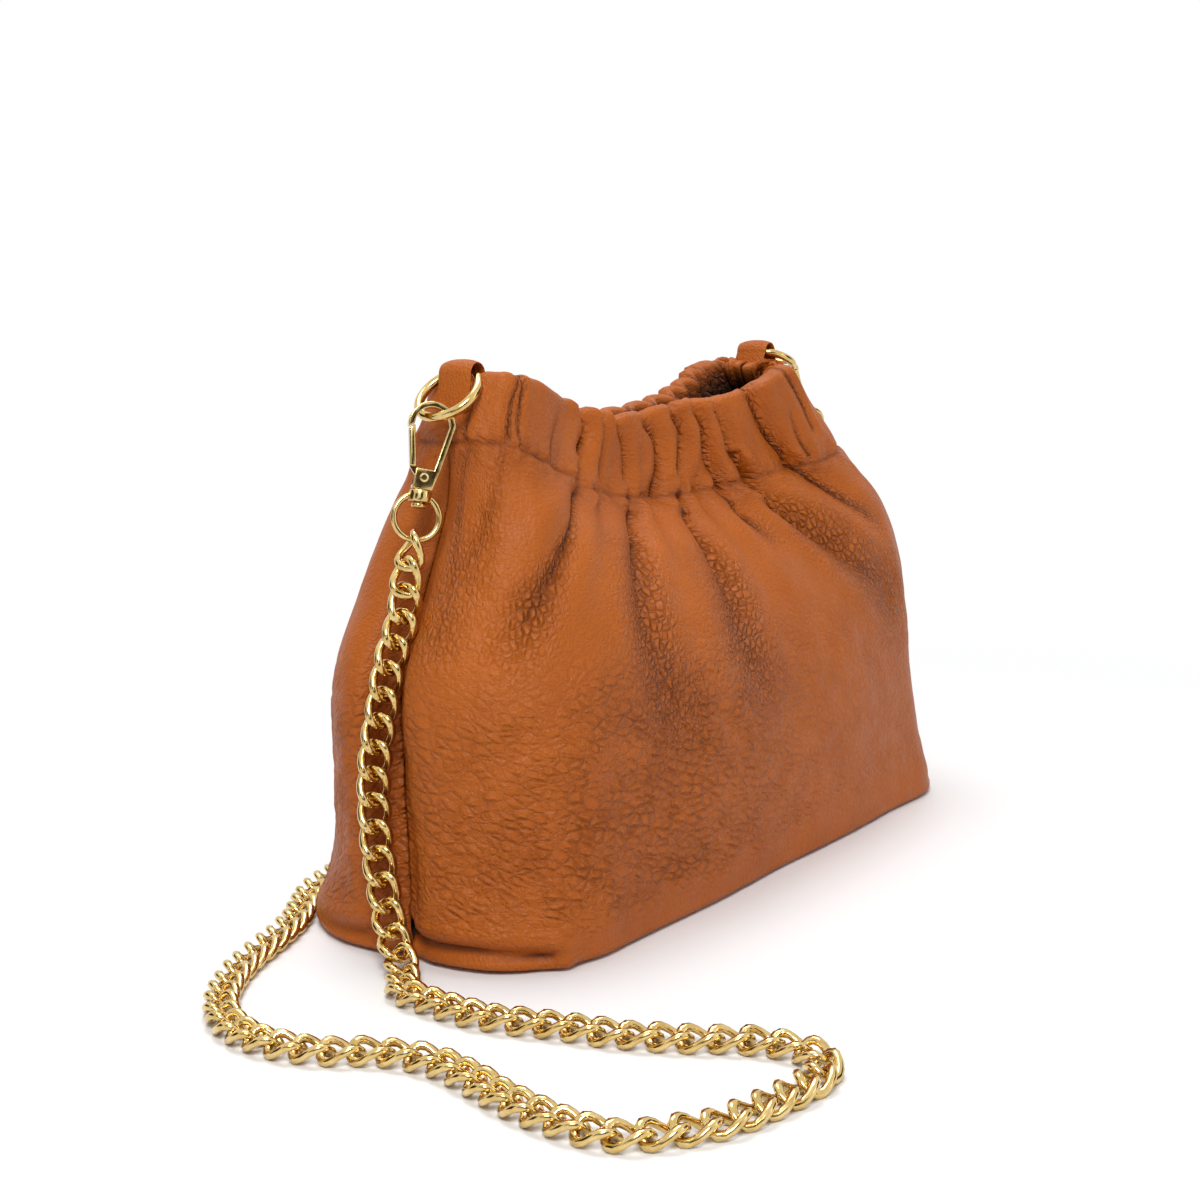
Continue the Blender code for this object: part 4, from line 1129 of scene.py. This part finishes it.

# %% [markdown]
# ## Tan leather
#
# The hide is drum-dyed tan with a soft sheen. Its grain is small pebbles. Where the
# leather is stretched over a ridge they almost vanish, and where it is squeezed into a
# fold they stand close and run along the fold. So there are three grains: one even, one
# that fans out from the mouth, and one that lies across the slack lower wall. Values
# painted on the mesh say how much of each shows. Shade is painted into the colour as
# well: in the crevices of the grain, along the creases and seams, and near black deep
# inside the mouth. The dye wanders a little over the hide.


# %% Leather finish
light_tan, deep_tan = (0.346, 0.077, 0.0036), (0.414, 0.097, 0.0052)
# Painted shade: darker browns for the grain's crevices, the creases and seams, and the deep inside of
# the mouth.
pit_shade_brown, crease_shade_brown = (0.170, 0.034, 0.004), (0.085, 0.016, 0.004)
mouth_shade_brown = (0.012, 0.006, 0.004)


def tan_leather(name, layered=True):
    hide = Finish(name, Specular_IOR_Level=0.26)

    def pebbles(scale, turn, stretch, seed, layer):
        base = hide.places(layer, turn) if layered else hide.places()
        waver = hide.add("ShaderNodeTexNoise", {}, {
            "Vector": base, "Scale": scale * 0.35, "Detail": 2.0,
        }, 1)
        shaken = hide.vectors("SUBTRACT", {0: waver, 1: (0.5, 0.5, 0.5)})
        shaken = hide.vectors("SCALE", {0: shaken, "Scale": 0.80 / scale})
        bent = hide.vectors("ADD", {0: base, 1: shaken})
        long_way = hide.add("ShaderNodeMapping", {}, {
            "Vector": bent, "Location": (seed, seed, 0), "Scale": (scale, scale * stretch, scale),
        })
        edge = hide.add("ShaderNodeTexVoronoi", {"feature": "DISTANCE_TO_EDGE"}, {
            "Vector": long_way, "Scale": 1.0, "Randomness": 1.0,
        })
        return hide.fit(edge, 0.0, 0.30)

    even = pebbles(620.0, 0.0, 1.25, 0.0, "flat")
    blotch = hide.cloud(110.0, 3.0)
    height = even * 0.20
    dye_and_painted_shade = hide.blend(hide.fit(hide.cloud(38.0, 4.0, 0.55), 0.3, 0.7), light_tan, deep_tan)
    if layered:
        fan = pebbles(460.0, 0.0, 0.85, 3.7, "fan")
        across = pebbles(215.0, math.radians(14), 1.75, 8.1, "flat")
        patch = hide.fit(blotch, 0.35, 0.65)
        slack, squeeze = hide.painted("slack"), hide.painted("squeeze")
        height = even * (0.16 + slack * 0.16) + fan * (squeeze * 1.7 + 0.12)
        height = height + across * (slack * (patch * 1.1 + 0.9))
        # Painted shade: the crevices between the pebbles darken where the leather is squeezed or slack.
        fan_lines = (1 - fan) * (1 - fan) * squeeze
        across_lines = (1 - across) * (1 - across) * slack
        pit_shade = fan_lines * 0.55 + across_lines * (patch * 0.30 + 0.16)
        dye_and_painted_shade = hide.blend(pit_shade, dye_and_painted_shade, pit_shade_brown)
        # Painted shade along the creases and seams.
        dye_and_painted_shade = hide.blend(hide.painted("crease") * 0.82, dye_and_painted_shade, crease_shade_brown)
        # Painted shade: the foot of the facing, deep in the mouth, goes near black.
        dye_and_painted_shade = hide.blend(hide.painted("inside"), dye_and_painted_shade, mouth_shade_brown)
    hide.feed("Normal", hide.bump(height + hide.cloud(2600.0) * 0.10, 0.0007))
    hide.feed("Base Color", dye_and_painted_shade)
    hide.feed("Roughness", hide.fit(blotch, 0.3, 0.7, 0.42, 0.56))
    return hide


panel_leather = tan_leather("tan leather")
strap_leather = tan_leather("tan strap leather", layered=False)

# %% [markdown]
# ## Making the panels
#
# A grid primitive has the right number of rows and columns. Its vertices are moved on to
# the pressed net, and Solidify gives the leather its thickness on the inside.


# %% Grid to panel
fan_height = 0.045  # where the fanned grain has its true size


def grid_piece(points, side):
    """A grid primitive whose vertices lie on the points given, without its UV map."""
    count_rows, count_columns = points.shape[:2]
    piece = new_piece(bpy.ops.mesh.primitive_grid_add, size=2,
                      x_subdivisions=count_columns - 1, y_subdivisions=count_rows - 1)
    mesh = piece.data
    flat = np.empty(len(mesh.vertices) * 3)
    mesh.vertices.foreach_get("co", flat)
    flat = flat.reshape(-1, 3)
    columns = np.rint((flat[:, 0] + 1) / 2 * (count_columns - 1)).astype(int)
    rows = np.rint((flat[:, 1] + 1) / 2 * (count_rows - 1)).astype(int)
    mesh.vertices.foreach_set("co", points[rows, columns].ravel())
    mesh.uv_layers.remove(mesh.uv_layers[0])
    if side > 0:
        edit_whole(piece, bpy.ops.mesh.flip_normals)
    mesh.update()
    return piece, (rows, columns)


def paint(piece, name, values):
    layer = piece.data.attributes.new(name, "FLOAT", "POINT")
    layer.data.foreach_set("value", values.astype(np.float32))


def lay_out(piece, name, places):
    """Adds a UV map from one place per vertex."""
    mesh = piece.data
    layer = mesh.uv_layers.new(name=name)
    corners = np.empty(len(mesh.loops), dtype=int)
    mesh.loops.foreach_get("vertex_index", corners)
    layer.data.foreach_set("uv", places[corners].astype(np.float32).ravel())


def make_panel(word):
    side, _ = panels[word]
    shape = shapes[word]
    run, height = shape["run"], shape["height"]
    piece, at = grid_piece(shape["points"], side)
    from_middle = run - run[:, -1:] / 2
    low_row = int(np.argmin(abs(height[:, height.shape[1] // 2] - fan_height)))
    lay_out(piece, "flat", np.stack([from_middle[at], height[at]], -1))
    lay_out(piece, "fan", np.stack([(from_middle[low_row] + run * 0)[at], height[at]], -1))
    # Painted shade: the lower rows of the facing, deep in the mouth, are marked to be painted near
    # black.
    hollow = smooth_step(row_places, facing_row_number - 0.6, facing_row_number + 0.9)
    for name, values in (("crease", shape["crease"]), ("squeeze", shape["squeeze"]),
                         ("inside", hollow[:, None] + run * 0), ("slack", shape["slack"])):
        paint(piece, name, values[at])
    apply_modifier(piece, "SOLIDIFY", thickness=leather, offset=-1.0)
    return hand_over(piece, word + "_leather", panel_leather, "pouch", [word + "_panel"])


for word in panels:
    make_panel(word)

# %% [markdown]
# ## The lining
#
# Inside the leather hangs a loose cloth lining, sewn to the lower edge of the facing. It
# follows the pressed leather a little further in, at a third of the fineness.

# %% Lining
cloth, cloth_gap, corner_room = 0.0006, 0.0009, 0.0045
foot_gap, foot_drop = 0.0002, 0.0005
lining_cloth = Finish("brown lining cloth", Roughness=0.9)
threads = [
    lining_cloth.add("ShaderNodeTexWave", {"bands_direction": way}, {
        "Vector": lining_cloth.places("flat"), "Scale": 380.0,
    }) for way in ("X", "Y")
]
weave = threads[0] * threads[1]
lining_cloth.feed("Normal", lining_cloth.bump(weave, 0.0001, 0.8))
lining_cloth.feed("Base Color", lining_cloth.blend(weave, (0.070, 0.036, 0.020), (0.110, 0.062, 0.036)))


def thinned(count, step):
    """Every so many of the numbers below the count, and the last one."""
    return list(range(0, count - 1, step)) + [count - 1]


def make_lining(word):
    side, _ = panels[word]
    shape = shapes[word]
    shaped = shape["points"]
    seam = row_at(seam_row_number)
    some = np.ix_(thinned(seam + 1, 3), thinned(shaped.shape[1], 3))
    low = 1 - smooth_step(shaped[..., 2], 0.012, 0.030)
    depth = leather + cloth_gap + corner_room * low * (shaped[..., 2] > 0.001)
    inside = shaped - shape["ways"] * depth[..., None]
    inside[..., 2] = np.maximum(inside[..., 2], leather + cloth_gap)
    behind_facing = surface_ways(shaped, side)[seam] * [foot_gap, foot_gap, 0]
    foot = shaped[-1] - behind_facing - [0, 0, foot_drop]
    share = smooth_step(row_places[:, None], seam_row_number - 2.2, seam_row_number)[..., None]
    inside = inside * (1 - share) + (foot + (inside - inside[seam][None])) * share
    piece, at = grid_piece(inside[some], side)
    lay_out(piece, "flat", np.stack([shape["run"][some], shape["height"][some]], -1)[at])
    apply_modifier(piece, "SOLIDIFY", thickness=cloth, offset=-1.0)
    return hand_over(piece, word + "_lining_cloth", lining_cloth, "pouch", [word + "_lining"])


for word in panels:
    make_lining(word)

# %% [markdown]
# ## The elastic
#
# A band of webbing runs all round inside the casing and does the gathering. It is never
# seen, but it belongs to the pouch, so it follows the pressed leather between its faces.

# %% Elastic
webbing = Finish("white elastic webbing", Roughness=0.85)
rib = webbing.add("ShaderNodeTexWave", {"bands_direction": "Z"}, {
    "Vector": webbing.places(), "Scale": 420.0,
})
webbing.feed("Base Color", webbing.blend(rib, (0.55, 0.54, 0.50), (0.74, 0.73, 0.69)))
webbing.feed("Normal", webbing.bump(rib, 0.0002, 0.8))
elastic_thickness, elastic_gap, stitch_gap = 0.0007, 0.0010, 0.0008
casing_rows = (row_places >= seam_row_number + 0.45) & (row_places <= rim_row_number - 0.55)
halves = []
for word, (side, _) in panels.items():
    shaped = shapes[word]["points"]
    some = np.ix_(np.flatnonzero(casing_rows)[::3], thinned(shaped.shape[1], 2))
    level = unit(surface_ways(shaped, side) * [1, 1, 0])
    halves.append(grid_piece((shaped - level * (leather + elastic_gap))[some], side)[0])
elastic = join(halves)
edit_whole(elastic, bpy.ops.mesh.remove_doubles, threshold=stitch_gap)
apply_modifier(elastic, "SOLIDIFY", thickness=elastic_thickness, offset=-1.0)
hand_over(elastic, "elastic_webbing", webbing, "pouch", ["elastic_band"])

# %% [markdown]
# ## Floor, light and background
#
# A pale floor takes the pouch's soft shadow. The world is plain and pale, and a camera
# ray, a reflection or a ray through glass sees it as white.

# %% Stage
def any_ray(tree, *kinds):
    """1 for a ray of any of the kinds, otherwise 0."""
    rays = tree.nodes.new("ShaderNodeLightPath")
    seen = Wire(tree, rays.outputs[kinds[0]])
    for kind in kinds[1:]:
        seen = seen.math("MAXIMUM", seen, Wire(tree, rays.outputs[kind]))
    return seen


floor_drop, fade_starts, fade_ends = 0.0002, 0.22, 0.42
floor_piece = new_piece(bpy.ops.mesh.primitive_plane_add, size=6, location=(0, 0, -floor_drop))
floor_piece.name = "floor"
floor_finish = Finish("pale floor", Roughness=0.6, Base_Color=(0.88, 0.88, 0.88))
floor_tree = floor_finish.tree
far_off = floor_finish.vectors("LENGTH", {0: floor_finish.places()}, 1)
far_off = floor_finish.fit(far_off, fade_starts, fade_ends)
far_off = far_off * any_ray(floor_tree, "Is Camera Ray", "Is Glossy Ray")
plain_white = floor_finish.add("ShaderNodeEmission", {}, {"Color": (1.0, 1.0, 1.0), "Strength": 1.0})
shaded = Wire(floor_tree, floor_finish.shader.outputs[0])
surface = floor_finish.add("ShaderNodeMixShader", {}, {0: far_off, 1: shaded, 2: plain_white})
floor_tree.links.new(surface.socket, floor_tree.nodes["Material Output"].inputs["Surface"])
floor_piece.data.materials.append(floor_finish.material)

world = bpy.data.worlds.new("studio")
bpy.context.scene.world = world
world.use_nodes = True
sky = world.node_tree
sky.nodes.clear()
seen = any_ray(sky, "Is Camera Ray", "Is Glossy Ray", "Is Transmission Ray")
dim = add_node(sky, "ShaderNodeBackground", {}, {"Color": (0.95, 0.97, 1.0), "Strength": 0.42})
white = add_node(sky, "ShaderNodeBackground", {}, {"Color": (1.0, 1.0, 1.0), "Strength": 1.0})
both = add_node(sky, "ShaderNodeMixShader", {}, {0: seen, 1: dim, 2: white})
world_output = sky.nodes.new("ShaderNodeOutputWorld")
sky.links.new(both.socket, world_output.inputs["Surface"])


def soft_lamp(name, place, target, size, power):
    data = bpy.data.lights.new(name, "AREA")
    data.shape = "DISK"
    data.size, data.energy = size, power
    lamp = bpy.data.objects.new(name, data)
    bpy.context.scene.collection.objects.link(lamp)
    lamp.location = place
    lamp.rotation_euler = (Vector(target) - Vector(place)).to_track_quat("-Z", "Y").to_euler()


soft_lamp("key", (-0.9, -0.6, 1.1), (0, 0, 0.08), 0.50, 13)
soft_lamp("top", (0.2, 0.3, 1.5), (0, 0, 0.05), 0.9, 11)
soft_lamp("fill", (0.6, -1.4, 0.6), (0, 0, 0.08), 1.0, 2.2)
bpy.context.scene.view_settings.view_transform = "Standard"

# %% [markdown]
# ## Black cards
#
# Polished metal needs something dark to reflect, or it looks like paper. A photographer
# stands black cards round the set for this. Only reflections see these.

# %% Cards
card_finish = Finish("black card", Roughness=0.9, Base_Color=(0.030, 0.020, 0.012))
clip_middle = clip_frame("left") @ Vector((0, 0, -0.02))
sight = (clip_middle - camera.location).normalized()
clip_card = clip_middle + sight.reflect(clip_face["left"]) * 0.8
print("the clip's face mirrors", [round(v, 2) for v in clip_card])
cards = [
    ((-1.30, -0.95, 0.20), 1.1, 0.55), ((0.9, -1.1, 0.40), 0.9, 0.9), ((-0.9, 1.1, 0.45), 1.2, 0.9),
    ((-1.9, -0.1, 0.9), 1.0, 0.6), (tuple(clip_card), 0.34, 0.34),
]
for number, (place, wide, high) in enumerate(cards):
    card = new_piece(bpy.ops.mesh.primitive_plane_add, size=1, location=place)
    card.name = "black_card_%d" % number
    card.scale = (wide, high, 1)
    card.rotation_euler = (Vector((0, 0, 0.12)) - Vector(place)).to_track_quat("-Z", "Y").to_euler()
    card.visible_camera = card.visible_diffuse = card.visible_shadow = False
    card.data.materials.append(card_finish.material)

# %% [markdown]
# ## Plates, cut and rounded
#
# The cast hook, its gate and the leather tabs all have one outline all the way through.
# Each starts as a circle whose vertices are moved on to the outline, is extruded to its
# depth in edit mode, and has its long edges rounded by a Bevel modifier.


# %% Plate helper
def arc(centre, radius, start, end, steps):
    angles = [start + (end - start) * i / steps for i in range(steps + 1)]
    return [(centre[0] + radius * math.cos(a), centre[1] + radius * math.sin(a)) for a in angles]


def plate(outline, depth, rounding, segments=3, shift=0.0, steps=1):
    """A flat outline in X and Z, extruded along Y and rounded."""
    piece = new_piece(bpy.ops.mesh.primitive_circle_add, vertices=len(outline), fill_type="NGON")
    for vert, (x, z) in zip(piece.data.vertices, outline):
        vert.co = (x, shift - depth / 2, z)
    bpy.ops.object.mode_set(mode="EDIT")
    bpy.ops.mesh.select_all(action="SELECT")
    for _ in range(steps):
        bpy.ops.mesh.extrude_region_move(TRANSFORM_OT_translate={"value": (0, depth / steps, 0)})
    bpy.ops.mesh.select_all(action="SELECT")
    bpy.ops.mesh.normals_make_consistent(inside=False)
    bpy.ops.object.mode_set(mode="OBJECT")
    if rounding:
        apply_modifier(piece, "BEVEL", width=rounding, segments=segments,
                       limit_method="ANGLE", angle_limit=math.radians(50))
    return piece


def cut(piece, operation, tool):
    apply_modifier(piece, "BOOLEAN", operation=operation, object=tool, solver="EXACT")
    bpy.data.objects.remove(tool, do_unlink=True)


def rod(radius, low, high, axis="Z", place=(0, 0, 0), sides=32):
    piece = new_piece(bpy.ops.mesh.primitive_cylinder_add, vertices=sides, radius=radius,
                      depth=high - low)
    piece.data.transform(Matrix.Translation((0, 0, (low + high) / 2)))
    if axis == "Y":
        piece.data.transform(Matrix.Rotation(math.pi / 2, 4, "X"))
    piece.data.transform(Matrix.Translation(place))
    return piece


def place_piece(piece, frame_matrix):
    piece.matrix_world = frame_matrix
    settle(piece)


# %% [markdown]
# ## Rings
#
# The ring in each tab is bent from round wire and brazed shut, so it is a plain torus. It
# is fine enough to reflect without corners.

# %% Rings
for word in ("left", "right"):
    ring = new_piece(bpy.ops.mesh.primitive_torus_add, major_segments=80, minor_segments=20,
                     major_radius=ring_radius, minor_radius=ring_wire / 2)
    place_piece(ring, side_frame(word) @ Matrix.Rotation(-ring_lean[word], 4, "Y")
                @ Matrix.Translation((0, 0, -ring_offset)) @ Matrix.Rotation(math.pi / 2, 4, "Y"))
    hand_over(ring, word + "_ring_wire", plating, word + "_ring", [word + "_o_ring"])

# %% [markdown]
# ## Trigger clips
#
# The hook is cast in one with its foot. Its eye is a round bow with a slot in the foot,
# where the gate's root turns on a rivet. A stem below the foot is headed over and carries
# the swivel. The outlines repeat the solids', with more steps round the bow.

# %% Hooks
nose_outer, nose_inner = math.radians(195), math.radians(184)
hook_waist, hook_foot = 0.0086, 0.0058
slot_width, slot_floor, slot_wall = 0.0019, 0.0010, 0.0016
gate_plate, gate_depth = 0.0009, 0.0024
rivet_diameter, rivet_head, rivet_drop, pin_clearance = 0.0016, 0.0026, 0.0025, 0.0002
stem_diameter, stem_head, stem_head_height = 0.0024, 0.0042, 0.0012
rivet_height = eye_floor - rivet_drop
boss_bottom = boss_top - boss_height
head_top = boss_bottom - fit_gap
outer_r, inner_r = hook_width / 2, hook_width / 2 - hook_arm
hook_round, gate_round, boss_round, head_round = 0.00055, 0.00045, 0.00045, 0.0004
overrun = 0.001


def rivet_hole():
    radius = rivet_diameter / 2 + pin_clearance
    return rod(radius, -hook_depth, hook_depth, "Y", (0, 0, rivet_height))


def make_hook(word):
    outline = arc((0, eye_centre), outer_r, nose_outer, 0, 40)
    outline += [(hook_waist / 2, eye_floor), (hook_foot / 2, hook_end)]
    outline += [(-hook_foot / 2, hook_end), (-hook_waist / 2 + hook_arm, eye_floor)]
    outline += [(hook_waist / 2 - hook_arm, eye_floor)]
    outline += arc((0, eye_centre), inner_r, 0, nose_inner, 40)
    hook = plate(outline, hook_depth, hook_round, 4)
    slot = new_piece(bpy.ops.mesh.primitive_cube_add, size=1)
    low = (-hook_width, -slot_width / 2, hook_end + slot_floor)
    high = (hook_foot / 2 - slot_wall / 2, slot_width / 2, eye_floor + slot_wall)
    for vert in slot.data.vertices:
        vert.co = [(b if c > 0 else a) for a, b, c in zip(low, high, vert.co)]
    cut(hook, "DIFFERENCE", slot)
    cut(hook, "DIFFERENCE", rivet_hole())
    stem = rod(stem_diameter / 2, head_top - stem_head_height / 2, hook_end + slot_floor / 2)
    head = rod(stem_head / 2, head_top - stem_head_height, head_top)
    apply_modifier(head, "BEVEL", width=head_round, segments=3)
    place_piece(join([hook, stem, head]), clip_frame(word))
    hand_over(hook, word + "_hook_casting", plating, word + "_clip", [word + "_hook"], 35)


# %% [markdown]
# ## Gates
#
# The sprung gate closes the hook's opening. Its arm runs from the hook's nose to the
# foot, and its thin root turns on the rivet in the foot's slot.


# %% Gates
def make_gate(word):
    step = Vector((math.cos(nose_inner) * inner_r - math.cos(nose_outer) * outer_r,
                   math.sin(nose_inner) * inner_r - math.sin(nose_outer) * outer_r))
    away = Vector((step.y, -step.x)).normalized() * (pin_clearance + fit_gap) / 2
    tip_out = Vector((math.cos(nose_outer), math.sin(nose_outer))) * outer_r + away
    tip_in = Vector((math.cos(nose_inner), math.sin(nose_inner))) * inner_r + away
    foot = eye_floor + pin_clearance
    arm = plate([
        (tip_out.x, tip_out.y + eye_centre), (tip_in.x, tip_in.y + eye_centre),
        (-hook_waist / 2 + hook_arm, foot), (-hook_waist / 2, foot),
    ], gate_depth, gate_round, 3)
    root = [(-hook_waist / 2, foot + pin_clearance), (-hook_waist / 2, eye_floor)]
    root += arc((0, rivet_height), rivet_head / 2 + pin_clearance * 2,
                math.radians(215), math.radians(400), 16)
    root += [(-hook_waist / 2 + hook_arm, foot + pin_clearance)]
    plate_y = -slot_width / 2 + pin_clearance + gate_plate / 2
    cut(arm, "UNION", plate(root, gate_plate, 0.0, shift=plate_y))
    cut(arm, "DIFFERENCE", rivet_hole())
    place_piece(arm, clip_frame(word))
    hand_over(arm, word + "_gate_bar", plating, word + "_gate", [word + "_gate"], 35)


# %% [markdown]
# ## Swivels
#
# A round boss turns on the hook's stem and carries a ring of thin wire for the chain.


# %% Swivels
def make_swivel(word):
    swivel = new_piece(bpy.ops.mesh.primitive_torus_add, major_segments=72, minor_segments=16,
                       major_radius=swivel_radius, minor_radius=swivel_wire / 2)
    swivel.data.transform(Matrix.Rotation(math.pi / 2, 4, "X"))
    swivel.data.transform(Matrix.Translation((0, 0, swivel_height)))
    boss = rod(boss_diameter / 2, boss_bottom, boss_top, sides=48)
    apply_modifier(boss, "BEVEL", width=boss_round, segments=3, limit_method="ANGLE",
                   angle_limit=math.radians(50))
    cut(boss, "UNION", swivel)
    cut(boss, "DIFFERENCE",
        rod(stem_diameter / 2 + fit_gap, boss_bottom - overrun, boss_top + overrun))
    place_piece(boss, clip_frame(word))
    hand_over(boss, word + "_swivel_ring", plating, word + "_swivel", [word + "_swivel"], 35)


for word in ("left", "right"):
    make_hook(word)
    make_gate(word)
    make_swivel(word)

# %% [markdown]
# ## Leather tabs
#
# Each tab is a strip folded over the rim of the mouth. Its top wraps round the ring's
# wire. The cut edges are turned and burnished, so they are round.

# %% Tabs
tab_seat, channel_gap, tab_round = 0.0006, 0.0006, 0.0004
arch_share, arch_power, arch_low = 0.22, 2.6, -0.003
channel_radius = ring_sag / 2 + ring_wire / 2 + channel_gap


def make_tab(word):
    sign = -1 if word == "left" else 1
    rows = nets["front"][[seam_row_number + 2, rim_row_number]]
    wall = rows[:, 0 if word == "left" else -1]
    wall = [(sign * (p[0] - tab_x[word]), p[2] - tab_axis_height) for p in wall]

    def leg(shift):
        return [(x + shift, z) for x, z in wall]

    far = -fold_width - tab_seat
    rim_drop = wall[-1][1] + tab_seat
    outline = leg(tab_seat + leather) + arc((0, 0), channel_radius + leather, 0, math.pi, 28)
    outline += [(far - leather, rim_drop), (far, rim_drop)]
    outline += arc((0, 0), channel_radius, math.pi, 0, 28) + leg(tab_seat)[::-1]
    tab = plate(outline, tab_width, tab_round, 2, steps=10)
    # the strip's long edges bend down over the channel
    for vert in tab.data.vertices:
        edge = abs(vert.co.y) / (tab_width / 2)
        outer = (math.hypot(vert.co.x, max(vert.co.z, 0)) - channel_radius) / leather
        arch = 1 - arch_share * edge ** arch_power * min(max(outer, 0), 1)
        if vert.co.z > 0:
            vert.co.z *= arch
        if vert.co.z > arch_low:
            vert.co.x *= arch
    place_piece(tab, side_frame(word))
    hand_over(tab, word + "_tab_strip", strap_leather, "pouch", [word + "_tab"], 35)


for word in ("left", "right"):
    make_tab(word)

# %% [markdown]
# ## Metal of the solids that stay
#
# The rivets, springs and magnets already have the right shape. They only get
# their metal.

# %% Rivets, springs and the snap
steel = Finish("snap steel", Metallic=1.0)
steel_cloud = steel.cloud(500.0)
steel.feed("Base Color", steel.blend(steel_cloud, (0.50, 0.49, 0.47), (0.60, 0.59, 0.57)))
steel.feed("Roughness", steel.fit(steel_cloud, 0.3, 0.7, 0.24, 0.38))
for name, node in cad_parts.items():
    finish = plating if "rivet" in name else steel
    if any(word in name for word in ("rivet", "spring", "magnet")):
        for slot in node.material_slots:
            slot.material = finish.material

# %% [markdown]
# ## The last update
#
# The last cell brings the view layer up to date.

# %% Finish
bpy.context.view_layer.update()
